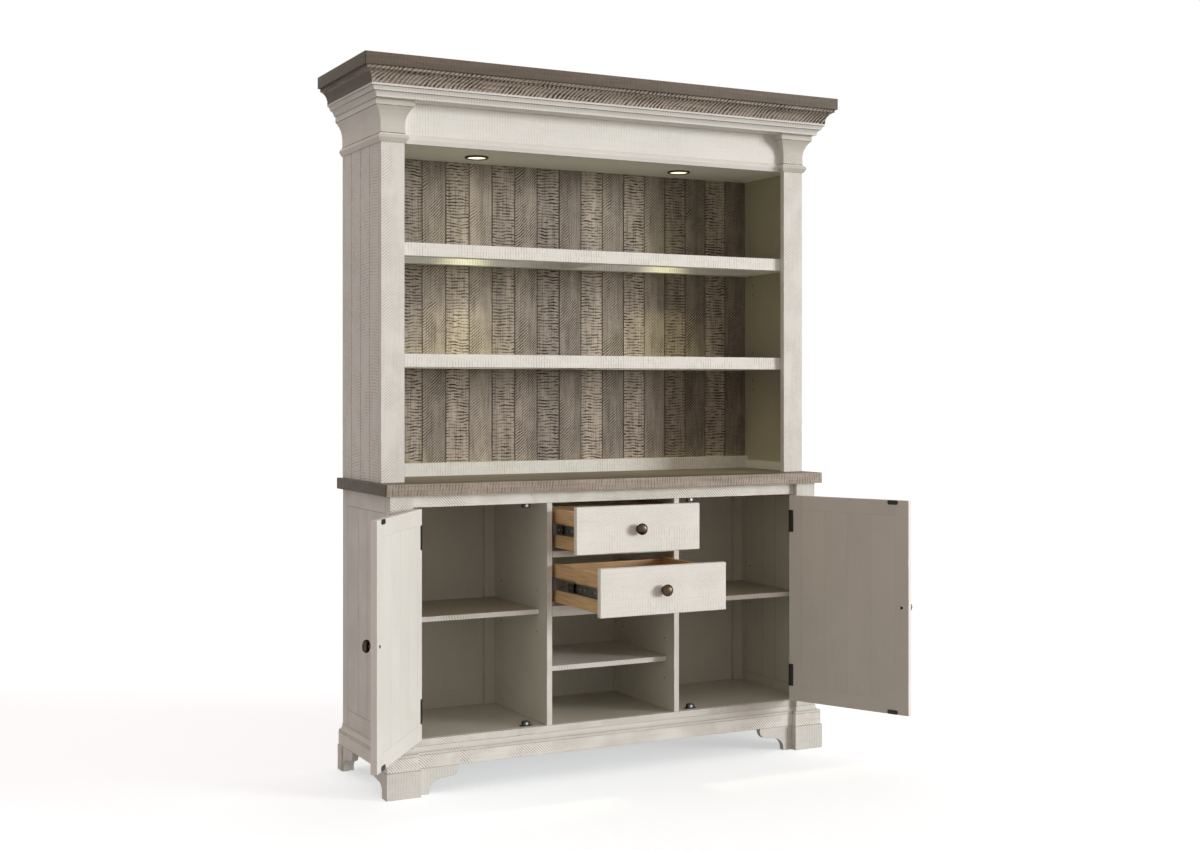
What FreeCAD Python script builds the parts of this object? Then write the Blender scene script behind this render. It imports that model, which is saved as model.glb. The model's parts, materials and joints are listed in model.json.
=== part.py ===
import FreeCAD, Part
import math
import os
import Sketcher

document = FreeCAD.newDocument("buffet_with_display_hutch")
sheet = document.addObject("Spreadsheet::Sheet", "sizes")

# driving dimensions in millimetres, with angles in degrees and counts
driving = {
    "cut_overrun": 4.0,
    # base cabinet carcass
    "base_width": 1490.0,
    "base_depth": 431.6,
    "carcass_height": 761.2,
    "post_width": 72.5,
    "post_depth": 37.0,
    "rail_setback": 17.0,
    "rail_thickness": 20.0,
    "top_rail_height": 36.7,
    "top_rail_depth": 60.0,
    "bottom_rail_height": 44.0,
    "bottom_thickness": 18.0,
    "side_thickness": 22.0,
    "back_stile_width": 45.8,
    "side_top_score": 52.0,
    "side_bottom_score": 76.0,
    "base_plank_offset": 83.0,
    "base_plank_pitch": 80.5,
    "base_plank_count": 3,
    "base_back_thickness": 8.0,
    "back_strip_width": 38.0,
    "back_strip_thickness": 12.0,
    "divider_thickness": 18.5,
    "centre_opening": 430.0,
    "drawer_opening_height": 148.5,
    "drawer_rail_height": 19.5,
    "cubby_rail_height": 33.0,
    "groove_width": 3.0,
    "groove_depth": 1.6,
    # shelves behind the doors and in the open cubby
    "shelf_thickness": 16.0,
    "shelf_end_gap": 0.6,
    "door_shelf_height": 350.0,
    "door_shelf_setback": 55.0,
    "cubby_shelf_height": 171.7,
    "cubby_shelf_setback": 47.0,
    "shelf_pin_radius": 2.5,
    "shelf_pin_sides": 12,
    "shelf_pin_length": 20.0,
    "shelf_pin_clearance": 0.1,
    "base_pin_front_inset": 15.0,
    "base_pin_back_inset": 62.0,
    # counter
    "counter_thickness": 34.0,
    "counter_side_overhang": 19.5,
    "counter_front_overhang": 20.1,
    "counter_corner_radius": 8.0,
    # plinth, base moulding and bracket feet
    "foot_height": 78.0,
    "apron_height": 39.0,
    "apron_thickness": 20.0,
    "apron_projection": 14.0,
    "foot_block_depth": 40.0,
    "foot_block_proud": 3.0,
    "foot_block_front_proud": 5.0,
    "bracket_flat": 33.6,
    "side_bracket_flat": 2.0,
    "back_bracket_flat": 6.0,
    "bracket_arch_run": 33.0,
    "bracket_arch_rise": 42.0,
    "bracket_arch_radius": 38.0,
    "bracket_step_run": 45.0,
    "bracket_step_rise": 6.0,
    "bracket_nose_run": 14.0,
    "bracket_nose_radius": 30.0,
    "base_moulding_height": 24.0,
    "base_moulding_projection": 13.0,
    "base_moulding_fillet": 8.0,
    "base_moulding_step": 3.0,
    "base_moulding_lip": 2.0,
    "base_moulding_radius": 14.0,
    # display hutch carcass
    "hutch_width": 1491.6,
    "hutch_setback": 74.5,
    "hutch_post_width": 73.9,
    "hutch_post_thickness": 20.0,
    "hutch_post_height": 1128.8,
    "hutch_side_thickness": 22.0,
    "hutch_plank_offset": 79.3,
    "hutch_plank_pitch": 85.0,
    "hutch_plank_count": 3,
    "hutch_back_thickness": 12.0,
    "hutch_back_recess": 25.6,
    "back_plank_pitch": 81.0,
    "back_plank_count": 17,
    "back_plank_shift": 8.6,
    "back_rail_height": 42.0,
    "back_rail_thickness": 20.0,
    "side_cleat_height": 28.0,
    "side_cleat_thickness": 10.0,
    "frieze_height": 123.0,
    "frieze_thickness": 20.0,
    "ceiling_lift": 2.0,
    "ceiling_thickness": 12.0,
    # crown
    "cornice_lead": 14.5,
    "bed_height": 36.0,
    "bed_foot_projection": 29.0,
    "bed_foot_fillet": 4.0,
    "bed_step_projection": 38.0,
    "bed_step_height": 17.0,
    "bed_step_ledge": 3.0,
    "bed_top_projection": 47.0,
    "bed_top_height": 30.0,
    "bed_curve_radius": 20.0,
    "cove_height": 46.6,
    "cove_foot_projection": 49.5,
    "cove_foot_fillet": 3.0,
    "cove_top_projection": 69.0,
    "cove_top_height": 37.0,
    "cove_lip_projection": 72.5,
    "cove_radius": 36.0,
    "cap_thickness": 35.4,
    "cap_side_overhang": 80.6,
    "cap_corner_radius": 4.0,
    # pilaster capitals and the bead along the frieze
    "capital_projection": 23.5,
    "capital_height": 123.0,
    "abacus_height": 18.0,
    "abacus_fillet": 1.5,
    "cavetto_rise": 54.0,
    "astragal_height": 27.0,
    "astragal_projection": 11.0,
    "astragal_tip_height": 13.0,
    "astragal_foot": 3.5,
    "astragal_neck": 1.0,
    "astragal_shoulder": 6.0,
    "astragal_shoulder_height": 22.0,
    "astragal_radius": 12.0,
    "bead_projection": 8.0,
    "bead_shoulder": 4.0,
    # framed glass shelves
    "upper_shelf_height": 674.8,
    "lower_shelf_height": 342.8,
    "shelf_frame_height": 40.0,
    "shelf_rail_width": 42.0,
    "glass_thickness": 5.0,
    "glass_rebate": 9.0,
    "glass_clearance": 0.5,
    "hutch_pin_inset": 50.0,
    # puck lights in the hutch ceiling
    "light_spacing": 734.0,
    "light_inset": 155.0,
    "light_radius": 37.0,
    "light_lens_radius": 29.0,
    "light_drop": 6.0,
    "light_lens_drop": 4.0,
    "light_lens_clearance": 0.2,
    # doors
    "door_thickness": 18.0,
    "door_gap": 2.5,
    "door_frame_width": 47.0,
    "door_plank_count": 4,
    "door_panel_recess": 5.0,
    "left_door_open_angle": 126.8,
    "right_door_open_angle": 114.8,
    # butt hinges that wrap the door's edge
    "hinge_height": 72.0,
    "hinge_end_inset": 48.0,
    "hinge_leaf_thickness": 1.2,
    "hinge_leaf_clearance": 0.6,
    "hinge_axis_inset": 4.8,
    "hinge_axis_lead": 6.5,
    "hinge_face_width": 16.0,
    "knuckle_radius": 4.0,
    "knuckle_gap": 0.3,
    "hinge_pin_radius": 1.5,
    "hinge_pin_clearance": 0.05,
    # magnetic catches and their strike plates
    "catch_width": 38.0,
    "catch_height": 15.0,
    "catch_depth": 14.0,
    "catch_inset": 55.0,
    "catch_gap": 0.5,
    "catch_pole_thickness": 2.0,
    "catch_pole_lead": 1.0,
    "strike_width": 36.0,
    "strike_height": 14.0,
    "strike_thickness": 1.5,
    # drawers
    "upper_drawer_pull": 161.5,
    "lower_drawer_pull": 315.7,
    "drawer_front_thickness": 18.0,
    "drawer_side_gap": 2.0,
    "drawer_top_gap": 4.0,
    "drawer_foot_gap": 1.6,
    "drawer_board_thickness": 12.0,
    "drawer_box_top_drop": 17.0,
    "drawer_box_foot_lift": 9.0,
    "drawer_bottom_thickness": 6.0,
    "drawer_bottom_lift": 8.0,
    "drawer_back_drop": 6.0,
    # three-part ball-bearing slides
    "slide_width": 12.7,
    "slide_height": 37.0,
    "slide_back_clearance": 38.6,
    "slide_front_inset": 2.0,
    "slide_sheet": 1.2,
    "slide_running_gap": 0.4,
    "slide_lip": 9.0,
    # turned knobs
    "knob_flange_radius": 11.0,
    "knob_flange_thickness": 2.5,
    "knob_flare_height": 4.6,
    "knob_neck_radius": 6.0,
    "knob_neck_height": 12.0,
    "knob_radius": 17.6,
    "knob_length": 29.0,
    "knob_sides": 24,
    "door_knob_inset": 24.0,
}


class Size:
    def __init__(self, value, text):
        self.value = value
        self.text = text

    def __add__(self, other):
        other = as_size(other)
        return Size(self.value + other.value, f"({self.text} + {other.text})")

    def __sub__(self, other):
        other = as_size(other)
        return Size(self.value - other.value, f"({self.text} - {other.text})")

    def __mul__(self, other):
        other = as_size(other)
        return Size(self.value * other.value, f"({self.text} * {other.text})")

    def __truediv__(self, other):
        other = as_size(other)
        return Size(self.value / other.value, f"({self.text} / {other.text})")

    def __neg__(self):
        return Size(-self.value, f"(0 - {self.text})")


def as_size(number):
    return number if isinstance(number, Size) else Size(number, repr(number))


class Sizes:
    pass


# each driving dimension is a cell of the sheet and a named size here
size = Sizes()
for row, (alias, value) in enumerate(driving.items(), start=1):
    sheet.set(f"A{row}", alias)
    sheet.set(f"B{row}", str(value))
    sheet.setAlias(f"B{row}", alias)
    setattr(size, alias, Size(value, f"sizes.{alias}"))
document.recompute()

zero = as_size(0)
nodes = []
hands = {"left": -1, "right": 1}
turn_to = {
    "x": FreeCAD.Rotation(FreeCAD.Vector(0, 1, 0), 90),
    "y": FreeCAD.Rotation(FreeCAD.Vector(1, 0, 0), -90),
    "z": FreeCAD.Rotation(),
}


def bind(target, name, length):
    target.setExpression(name, as_size(length).text)


def place(target, x, y, z):
    for axis, length in zip("xyz", (x, y, z)):
        bind(target, f"Placement.Base.{axis}", length)


def spun(target, angle):
    target.Placement = FreeCAD.Placement(
        FreeCAD.Vector(), FreeCAD.Rotation(FreeCAD.Vector(0, 0, 1), angle))


def group(name, members):
    bundle = document.addObject("Part::Compound", name)
    bundle.Links = list(members)
    return bundle


def node(label, *members):
    item = members[0] if len(members) == 1 else group(label, members)
    item.Label = label
    nodes.append(item)
    return item


def across(hand, low, high):
    # a span given for the right-hand side, mirrored for the left
    return (low, high) if hand > 0 else (-high, -low)


def box(name, x, y, z):
    solid = document.addObject("Part::Box", name)
    spans = zip(("Length", "Width", "Height"), (x, y, z))
    for side, (low, high) in spans:
        bind(solid, side, high - low)
    place(solid, x[0], y[0], z[0])
    return solid


def rod(name, axis, radius, length, x, y, z):
    solid = document.addObject("Part::Cylinder", name)
    solid.Placement = FreeCAD.Placement(FreeCAD.Vector(), turn_to[axis])
    bind(solid, "Radius", radius)
    bind(solid, "Height", length)
    place(solid, x, y, z)
    return solid


def peg(name, radius, length, x, y, z):
    # a many-sided rod along x
    solid = document.addObject("Part::Prism", name)
    solid.Placement = FreeCAD.Placement(FreeCAD.Vector(), turn_to["x"])
    bind(solid, "Polygon", size.shelf_pin_sides)
    bind(solid, "Circumradius", radius)
    bind(solid, "Height", length)
    place(solid, x, y, z)
    return solid


def cut(name, base, *tools):
    result = document.addObject("Part::Cut", name)
    result.Base = base
    result.Tool = tools[0] if len(tools) == 1 else group(f"{name}_tools", tools)
    return result


def fuse(name, *members):
    result = document.addObject("Part::MultiFuse", name)
    result.Shapes = list(members)
    return result


def arc_between(first, last, radius, turn):
    # turn is 1 with the centre left of the way from first to last, -1 with it right
    chord = last - first
    rise = math.sqrt(radius ** 2 - (chord.Length / 2) ** 2)
    left = FreeCAD.Vector(-chord.y, chord.x, 0).normalize()
    centre = (first + last) / 2 + left * (rise * turn)
    begin, end = (first, last) if turn > 0 else (last, first)
    angles = [math.atan2(spot.y - centre.y, spot.x - centre.x) for spot in (begin, end)]
    circle = Part.Circle(centre, FreeCAD.Vector(0, 0, 1), radius)
    return Part.ArcOfCircle(circle, angles[0], angles[1])


def hold(sketch, kind, axis, index, end, length):
    # pins one coordinate of a corner to its size, or to the sketch's axis at zero
    if length.text == zero.text:
        sketch.addConstraint(Sketcher.Constraint("PointOnObject", index, end, axis))
        return
    rule = sketch.addConstraint(Sketcher.Constraint(kind, -1, 1, index, end, length.value))
    bind(sketch, f"Constraints[{rule}]", length)


def draw(sketch, points, closed=True):
    # a point is (x, y), with a radius and a turn added where an arc leaves it
    spots = [(as_size(point[0]), as_size(point[1])) for point in points]
    flat = [FreeCAD.Vector(x.value, y.value, 0) for x, y in spots]
    heads, tails = [], []
    for index in range(len(points) if closed else len(points) - 1):
        first, last = flat[index], flat[(index + 1) % len(points)]
        if len(points[index]) == 2:
            edge = sketch.addGeometry(Part.LineSegment(first, last), False)
            ends = (1, 2)
        else:
            radius, turn = points[index][2:]
            edge = sketch.addGeometry(arc_between(first, last, radius.value, turn), False)
            rule = sketch.addConstraint(Sketcher.Constraint("Radius", edge, radius.value))
            bind(sketch, f"Constraints[{rule}]", radius)
            ends = (1, 2) if turn > 0 else (2, 1)
        heads.append((edge, ends[0]))
        tails.append((edge, ends[1]))
    for index, tail in enumerate(tails):
        if closed or index + 1 < len(heads):
            head = heads[(index + 1) % len(heads)]
            sketch.addConstraint(Sketcher.Constraint("Coincident", *tail, *head))
    corners = heads if closed else heads + tails[-1:]
    for (edge, end), (x, y) in zip(corners, spots):
        hold(sketch, "DistanceX", -2, edge, end, x)
        hold(sketch, "DistanceY", -1, edge, end, y)


def body_sketch(body, name, role, points):
    sketch = body.newObject("Sketcher::SketchObject", name)
    plane = [item for item in body.Origin.OriginFeatures if item.Role == role][0]
    sketch.AttachmentSupport = (plane, "")
    sketch.MapMode = "FlatFace"
    draw(sketch, points)
    return sketch


def padded(name, role, points, length):
    body = document.addObject("PartDesign::Body", name)
    pad = body.newObject("PartDesign::Pad", f"{name}_pad")
    pad.Profile = body_sketch(body, f"{name}_outline", role, points)
    bind(pad, "Length", length)
    return body


def planked(name, width, thickness, height, first, pitch, count):
    # a panel with its face at y = 0 and a V groove at each plank joint
    outline = [(zero, zero), (width, zero), (width, thickness), (zero, thickness)]
    body = padded(name, "XY_Plane", outline, height)
    groove = body.newObject("PartDesign::Pocket", f"{name}_groove")
    notch = [(first - size.groove_width / 2, zero), (first + size.groove_width / 2, zero),
             (first, size.groove_depth)]
    groove.Profile = body_sketch(body, f"{name}_notch", "XY_Plane", notch)
    groove.Type = "ThroughAll"
    groove.Reversed = True
    row = body.newObject("PartDesign::LinearPattern", f"{name}_joints")
    row.Originals = [groove]
    row.Direction = (groove.Profile[0], ["H_Axis"])
    bind(row, "Length", pitch * (count - 1))
    bind(row, "Occurrences", count)
    body.Tip = row
    return body


def moulding(label, hand, profile, path, level):
    # sweeps a profile, drawn as projection and rise, round a plan with mitred corners
    section = document.addObject("Sketcher::SketchObject", f"{label}_profile")
    draw(section, profile)
    upright = FreeCAD.Rotation(FreeCAD.Vector(1, 0, 0), 90)
    half_turn = FreeCAD.Rotation(FreeCAD.Vector(0, 0, 1), 90 - 90 * hand)
    section.Placement = FreeCAD.Placement(FreeCAD.Vector(), half_turn * upright)
    place(section, path[0][0], path[0][1], level)
    plan = document.addObject("Sketcher::SketchObject", f"{label}_plan")
    draw(plan, path, closed=False)
    place(plan, zero, zero, level)
    run = document.addObject("Part::Sweep", label)
    run.Sections = [section]
    run.Spine = (plan, [f"Edge{index}" for index in range(1, len(path))])
    run.Solid = True
    run.Frenet = True
    run.Transition = "Right corner"
    return run


# levels above the floor and faces of the plan, shared by every piece
apron_level = size.foot_height
post_level = apron_level + size.apron_height
floor_level = post_level + size.bottom_rail_height
counter_level = post_level + size.carcass_height
opening_top = counter_level - size.top_rail_height
hutch_level = counter_level + size.counter_thickness
head_level = hutch_level + size.hutch_post_height
cove_level = head_level + size.bed_height
cap_level = cove_level + size.cove_height
frieze_level = head_level - size.frieze_height
ceiling_level = frieze_level + size.ceiling_lift

front = (size.counter_front_overhang - size.base_depth) / 2
back = front + size.base_depth
rail_face = front + size.rail_setback
rail_back = rail_face + size.rail_thickness
post_back = front + size.post_depth
base_back_face = back - size.base_back_thickness
base_half = size.base_width / 2
base_inner = base_half - size.side_thickness
post_inner = base_half - size.post_width
divider_inner = size.centre_opening / 2
divider_outer = divider_inner + size.divider_thickness

hutch_front = front + size.hutch_setback
hutch_post_back = hutch_front + size.hutch_post_thickness
hutch_half = size.hutch_width / 2
hutch_inner = hutch_half - size.hutch_side_thickness
hutch_post_inner = hutch_half - size.hutch_post_width
hutch_back_face = back - size.hutch_back_recess - size.hutch_back_thickness
cornice_front = hutch_front - size.cornice_lead
frieze_back = hutch_post_back + size.frieze_thickness

upper_rail_top = opening_top - size.drawer_opening_height
lower_opening_top = upper_rail_top - size.drawer_rail_height
cubby_rail_top = lower_opening_top - size.drawer_opening_height
cubby_top = cubby_rail_top - size.cubby_rail_height


def slab(label, half, near, far, level, thickness, radius):
    # a flat top with its two front corners rounded
    outline = [(-half, far), (-half, near + radius, radius, 1), (radius - half, near),
               (half - radius, near, radius, 1), (half, near + radius), (half, far)]
    top = padded(label, "XY_Plane", outline, thickness)
    place(top, zero, zero, level)
    return node(label, top)


def pin_rows(near, far, under):
    # centres of the shelf pins below one shelf, as (y, z)
    drop = under - size.shelf_pin_radius
    return [(near, drop), (far, drop)]


shelf_pins = []


def pinned(name, panel, wall, hand, rows):
    # bores a panel's inner wall for its shelf pins and seats the pins in them;
    # hand is the side of the wall that the panel's wood lies on
    deep = size.shelf_pin_length / 2
    bores = []
    for index, (y, z) in enumerate(rows):
        seat = wall if hand > 0 else wall - deep
        bores.append(peg(f"{name}_bore_{index}", size.shelf_pin_radius + size.shelf_pin_clearance,
                         deep, seat, y, z))
        shelf_pins.append(peg(f"{name}_pin_{index}", size.shelf_pin_radius,
                              size.shelf_pin_length, wall - deep, y, z))
    return cut(name, panel, *bores)


def base_carcass():
    door_shelf_under = floor_level + size.door_shelf_height - size.shelf_thickness
    cubby_shelf_under = floor_level + size.cubby_shelf_height - size.shelf_thickness
    pin_far = base_back_face - size.base_pin_back_inset
    door_pin_near = rail_face + size.door_shelf_setback + size.base_pin_front_inset
    cubby_pin_near = rail_face + size.cubby_shelf_setback + size.base_pin_front_inset
    door_rows = pin_rows(door_pin_near, pin_far, door_shelf_under)
    cubby_rows = pin_rows(cubby_pin_near, pin_far, cubby_shelf_under)
    full = (post_level, counter_level)
    stile_front = back - size.back_stile_width
    side_depth = stile_front - post_back
    span = size.base_plank_pitch * (size.base_plank_count - 1)

    posts, stiles, sides, dividers = [], [], [], []
    for side, hand in hands.items():
        posts.append(box(f"{side}_front_post", across(hand, post_inner, base_half),
                         (front, post_back), full))
        stiles.append(box(f"{side}_back_post", across(hand, base_inner, base_half),
                          (stile_front, back), full))
        # the grooved face turns outwards, so the first joint counts from the front
        # on one hand and from the back on the other
        first = size.base_plank_offset if hand > 0 else side_depth - size.base_plank_offset - span
        panel = planked(f"{side}_side_panel", side_depth, size.side_thickness,
                        size.carcass_height, first, size.base_plank_pitch, size.base_plank_count)
        spun(panel, 90 * hand)
        place(panel, base_half * hand, post_back if hand > 0 else stile_front, post_level)
        scores = []
        for end, level in (("top", counter_level - size.side_top_score),
                           ("bottom", post_level + size.side_bottom_score)):
            scores.append(box(f"{side}_side_{end}_groove",
                              across(hand, base_half - size.groove_depth, base_half + size.cut_overrun),
                              (post_back, stile_front),
                              (level - size.groove_width / 2, level + size.groove_width / 2)))
        scored = cut(f"{side}_side_scored", panel, *scores)
        sides.append(pinned(f"{side}_base_side", scored, base_inner * hand, hand, door_rows))

        board = box(f"{side}_divider_board", across(hand, divider_inner, divider_outer),
                    (rail_face, base_back_face), (floor_level, counter_level))
        notch = box(f"{side}_divider_notch",
                    across(hand, divider_inner - size.cut_overrun, divider_outer + size.cut_overrun),
                    (rail_face - size.cut_overrun, rail_face + size.top_rail_depth),
                    (opening_top, counter_level + size.cut_overrun))
        notched = cut(f"{side}_divider_notched", board, notch)
        bored = pinned(f"{side}_divider_bored", notched, divider_outer * hand, -hand, door_rows)
        dividers.append(pinned(f"{side}_divider", bored, divider_inner * hand, hand, cubby_rows))
    node("front_posts", *posts)
    node("back_posts", *stiles)
    node("base_sides", *sides)
    node("dividers", *dividers)

    between = (-post_inner, post_inner)
    node("top_rail", box("top_rail", between, (rail_face, rail_face + size.top_rail_depth),
                         (opening_top, counter_level)))
    node("bottom_rail", box("bottom_rail", between, (rail_face, rail_back),
                            (post_level, floor_level)))
    cubby = (-divider_inner, divider_inner)
    node("drawer_rails",
         box("upper_drawer_rail", cubby, (rail_face, rail_back), (lower_opening_top, upper_rail_top)),
         box("cubby_rail", cubby, (rail_face, rail_back), (cubby_top, cubby_rail_top)))
    node("bottom_panel", box("bottom_panel", (-base_inner, base_inner), (post_back, base_back_face),
                             (floor_level - size.bottom_thickness, floor_level)))
    node("base_back_panel", box("base_back_panel", (-base_inner, base_inner),
                                (base_back_face, back), full))
    strips = []
    for side, hand in hands.items():
        for place_name, low in (("inner", divider_outer), ("outer", base_inner - size.back_strip_width)):
            strips.append(box(f"{side}_{place_name}_strip",
                              across(hand, low, low + size.back_strip_width),
                              (base_back_face - size.back_strip_thickness, base_back_face),
                              (floor_level, counter_level)))
    node("back_strips", *strips)

    shelf_back = base_back_face - size.back_strip_thickness - size.shelf_end_gap
    shelves = [box(f"{side}_door_shelf",
                   across(hand, divider_outer + size.shelf_end_gap, base_inner - size.shelf_end_gap),
                   (rail_face + size.door_shelf_setback, shelf_back),
                   (door_shelf_under, door_shelf_under + size.shelf_thickness))
               for side, hand in hands.items()]
    node("door_shelves", *shelves)
    node("cubby_shelf", box("cubby_shelf",
                            (size.shelf_end_gap - divider_inner, divider_inner - size.shelf_end_gap),
                            (rail_face + size.cubby_shelf_setback, shelf_back),
                            (cubby_shelf_under, cubby_shelf_under + size.shelf_thickness)))


def base_moulding():
    size_up = size.base_moulding_height
    out = size.base_moulding_projection
    profile = [(zero, zero), (out, zero), (out, size.base_moulding_fillet),
               (out - size.base_moulding_step, size.base_moulding_fillet,
                size.base_moulding_radius, -1),
               (size.base_moulding_lip, size_up), (zero, size_up)]
    path = [(-base_half, back), (-base_half, front), (-post_inner, front), (-post_inner, rail_face),
            (post_inner, rail_face), (post_inner, front), (base_half, front), (base_half, back)]
    node("base_moulding", moulding("base_moulding", -1, profile, path, post_level))


def plinth():
    rise = (apron_level, post_level)
    outer = base_half + size.apron_projection
    block_inner = post_inner - size.apron_projection
    block_front = front - size.apron_projection
    apron_front = rail_face - size.apron_projection
    boards = [box("front_apron", (-block_inner, block_inner),
                  (apron_front, apron_front + size.apron_thickness), rise),
              box("back_apron", (size.apron_thickness - outer, outer - size.apron_thickness),
                  (back - size.apron_thickness, back), rise)]
    for side, hand in hands.items():
        boards.append(box(f"{side}_plinth_block", across(hand, block_inner, outer),
                          (block_front, post_back), rise))
        boards.append(box(f"{side}_apron", across(hand, outer - size.apron_thickness, outer),
                          (post_back, back), rise))
    node("plinth_boards", *boards)


def bracket(name, flat, angle, x, y):
    # a scrolled bracket board that runs away from its foot block along local x
    arch_end = flat + size.bracket_arch_run
    step_end = arch_end + size.bracket_step_run
    step_level = size.bracket_arch_rise + size.bracket_step_rise
    outline = [(zero, zero), (flat, zero, size.bracket_arch_radius, -1),
               (arch_end, size.bracket_arch_rise),
               (step_end, step_level, size.bracket_nose_radius, 1),
               (step_end + size.bracket_nose_run, size.foot_height), (zero, size.foot_height)]
    board = padded(name, "XZ_Plane", outline, size.apron_thickness)
    spun(board, angle)
    place(board, x, y, zero)
    return board


def feet():
    outer = base_half + size.apron_projection
    deep = size.apron_thickness
    block_outer = outer + size.foot_block_proud
    front_inner = post_inner - size.apron_projection - size.foot_block_proud
    block_front = front - size.apron_projection - size.foot_block_front_proud
    block_back = block_front + size.foot_block_depth
    apron_front = rail_face - size.apron_projection
    rear_inner = block_outer - size.foot_block_depth
    rear_front = back - size.foot_block_depth
    rise = (zero, size.foot_height)
    front_feet, back_feet = [], []
    for side, hand in hands.items():
        block = box(f"{side}_front_block", across(hand, front_inner, block_outer),
                    (block_front, block_back), rise)
        # boards run inwards along the front and rearwards along the side
        along_front = bracket(f"{side}_front_bracket", size.bracket_flat, 90 + 90 * hand,
                              front_inner * hand, apron_front if hand > 0 else apron_front + deep)
        along_side = bracket(f"{side}_side_bracket", size.side_bracket_flat, 90,
                             outer - deep if hand > 0 else -outer, block_back)
        front_feet += [block, along_front, along_side]
        rear = box(f"{side}_rear_block", across(hand, rear_inner, block_outer),
                   (rear_front, back), rise)
        rear_side = bracket(f"{side}_rear_side_bracket", size.back_bracket_flat, -90,
                            outer if hand > 0 else deep - outer, rear_front)
        along_back = bracket(f"{side}_back_bracket", size.back_bracket_flat, 90 + 90 * hand,
                             rear_inner * hand, back - deep if hand > 0 else back)
        back_feet += [rear, rear_side, along_back]
    node("front_feet", *front_feet)
    node("back_feet", *back_feet)


def hutch_carcass():
    rise = (hutch_level, cap_level)
    side_depth = back - hutch_post_back
    span = size.hutch_plank_pitch * (size.hutch_plank_count - 1)
    height = size.hutch_post_height + size.bed_height + size.cove_height
    pin_far = hutch_back_face - size.hutch_pin_inset
    pin_near = hutch_post_back + size.hutch_pin_inset
    rows = []
    for level in (size.upper_shelf_height, size.lower_shelf_height):
        rows += pin_rows(pin_near, pin_far, hutch_level + level)
    posts, sides = [], []
    for side, hand in hands.items():
        posts.append(box(f"{side}_hutch_post", across(hand, hutch_post_inner, hutch_half),
                         (hutch_front, hutch_post_back), (hutch_level, head_level)))
        first = size.hutch_plank_offset if hand > 0 else side_depth - size.hutch_plank_offset - span
        panel = planked(f"{side}_hutch_panel", side_depth, size.hutch_side_thickness, height,
                        first, size.hutch_plank_pitch, size.hutch_plank_count)
        spun(panel, 90 * hand)
        place(panel, hutch_half * hand, hutch_post_back if hand > 0 else back, hutch_level)
        sides.append(pinned(f"{side}_hutch_side", panel, hutch_inner * hand, hand, rows))
    node("hutch_posts", *posts)
    node("hutch_sides", *sides)

    # the back's planks stand off centre, so the outer two are narrower
    planks = planked("hutch_back_planks", hutch_inner * 2, size.hutch_back_thickness, height,
                     hutch_inner - size.back_plank_pitch * (size.back_plank_count - 1) / 2
                     - size.back_plank_shift,
                     size.back_plank_pitch, size.back_plank_count)
    place(planks, -hutch_inner, hutch_back_face, hutch_level)
    node("hutch_back_planks", planks)

    rail_front = hutch_back_face - size.back_rail_thickness
    rails = [box("hutch_back_rail", (-hutch_inner, hutch_inner), (rail_front, hutch_back_face),
                 (hutch_level, hutch_level + size.back_rail_height))]
    for side, hand in hands.items():
        rails.append(box(f"{side}_cleat",
                         across(hand, hutch_inner - size.side_cleat_thickness, hutch_inner),
                         (hutch_post_back, rail_front),
                         (hutch_level, hutch_level + size.side_cleat_height)))
    node("hutch_base_rails", *rails)
    node("head_rail", box("head_rail", (-hutch_half, hutch_half), (cornice_front, hutch_post_back),
                          (head_level, cap_level)))
    node("frieze_board", box("frieze_board", (-hutch_inner, hutch_inner),
                             (hutch_post_back, frieze_back), (frieze_level, cap_level)))
    node("hutch_ceiling", box("hutch_ceiling", (-hutch_inner, hutch_inner),
                              (frieze_back, hutch_back_face),
                              (ceiling_level, ceiling_level + size.ceiling_thickness)))


def crown():
    path = [(-hutch_half, back), (-hutch_half, cornice_front), (hutch_half, cornice_front),
            (hutch_half, back)]
    bed = [(zero, zero), (size.bed_foot_projection, zero),
           (size.bed_foot_projection, size.bed_foot_fillet, size.bed_curve_radius, -1),
           (size.bed_step_projection, size.bed_step_height),
           (size.bed_step_projection + size.bed_step_ledge, size.bed_step_height,
            size.bed_curve_radius, -1),
           (size.bed_top_projection, size.bed_top_height),
           (size.cove_foot_projection, size.bed_top_height),
           (size.cove_foot_projection, size.bed_height), (zero, size.bed_height)]
    node("bed_moulding", moulding("bed_moulding", -1, bed, path, head_level))
    cove = [(zero, zero), (size.cove_foot_projection, zero),
            (size.cove_foot_projection, size.cove_foot_fillet, size.cove_radius, -1),
            (size.cove_top_projection, size.cove_top_height),
            (size.cove_lip_projection, size.cove_top_height),
            (size.cove_lip_projection, size.cove_height), (zero, size.cove_height)]
    node("crown_cove", moulding("crown_cove", -1, cove, path, cove_level))
    slab("crown_cap", hutch_half + size.cap_side_overhang, cornice_front - size.cap_side_overhang,
         back, cap_level, size.cap_thickness, size.cap_corner_radius)


def astragal(foot, shoulder, out, neck):
    # the rounded nosing shared by the capitals and the bead of the frieze
    return [(foot, zero), (out, size.astragal_tip_height, size.astragal_radius, 1),
            (shoulder, size.astragal_shoulder_height), (neck, size.astragal_height)]


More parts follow.
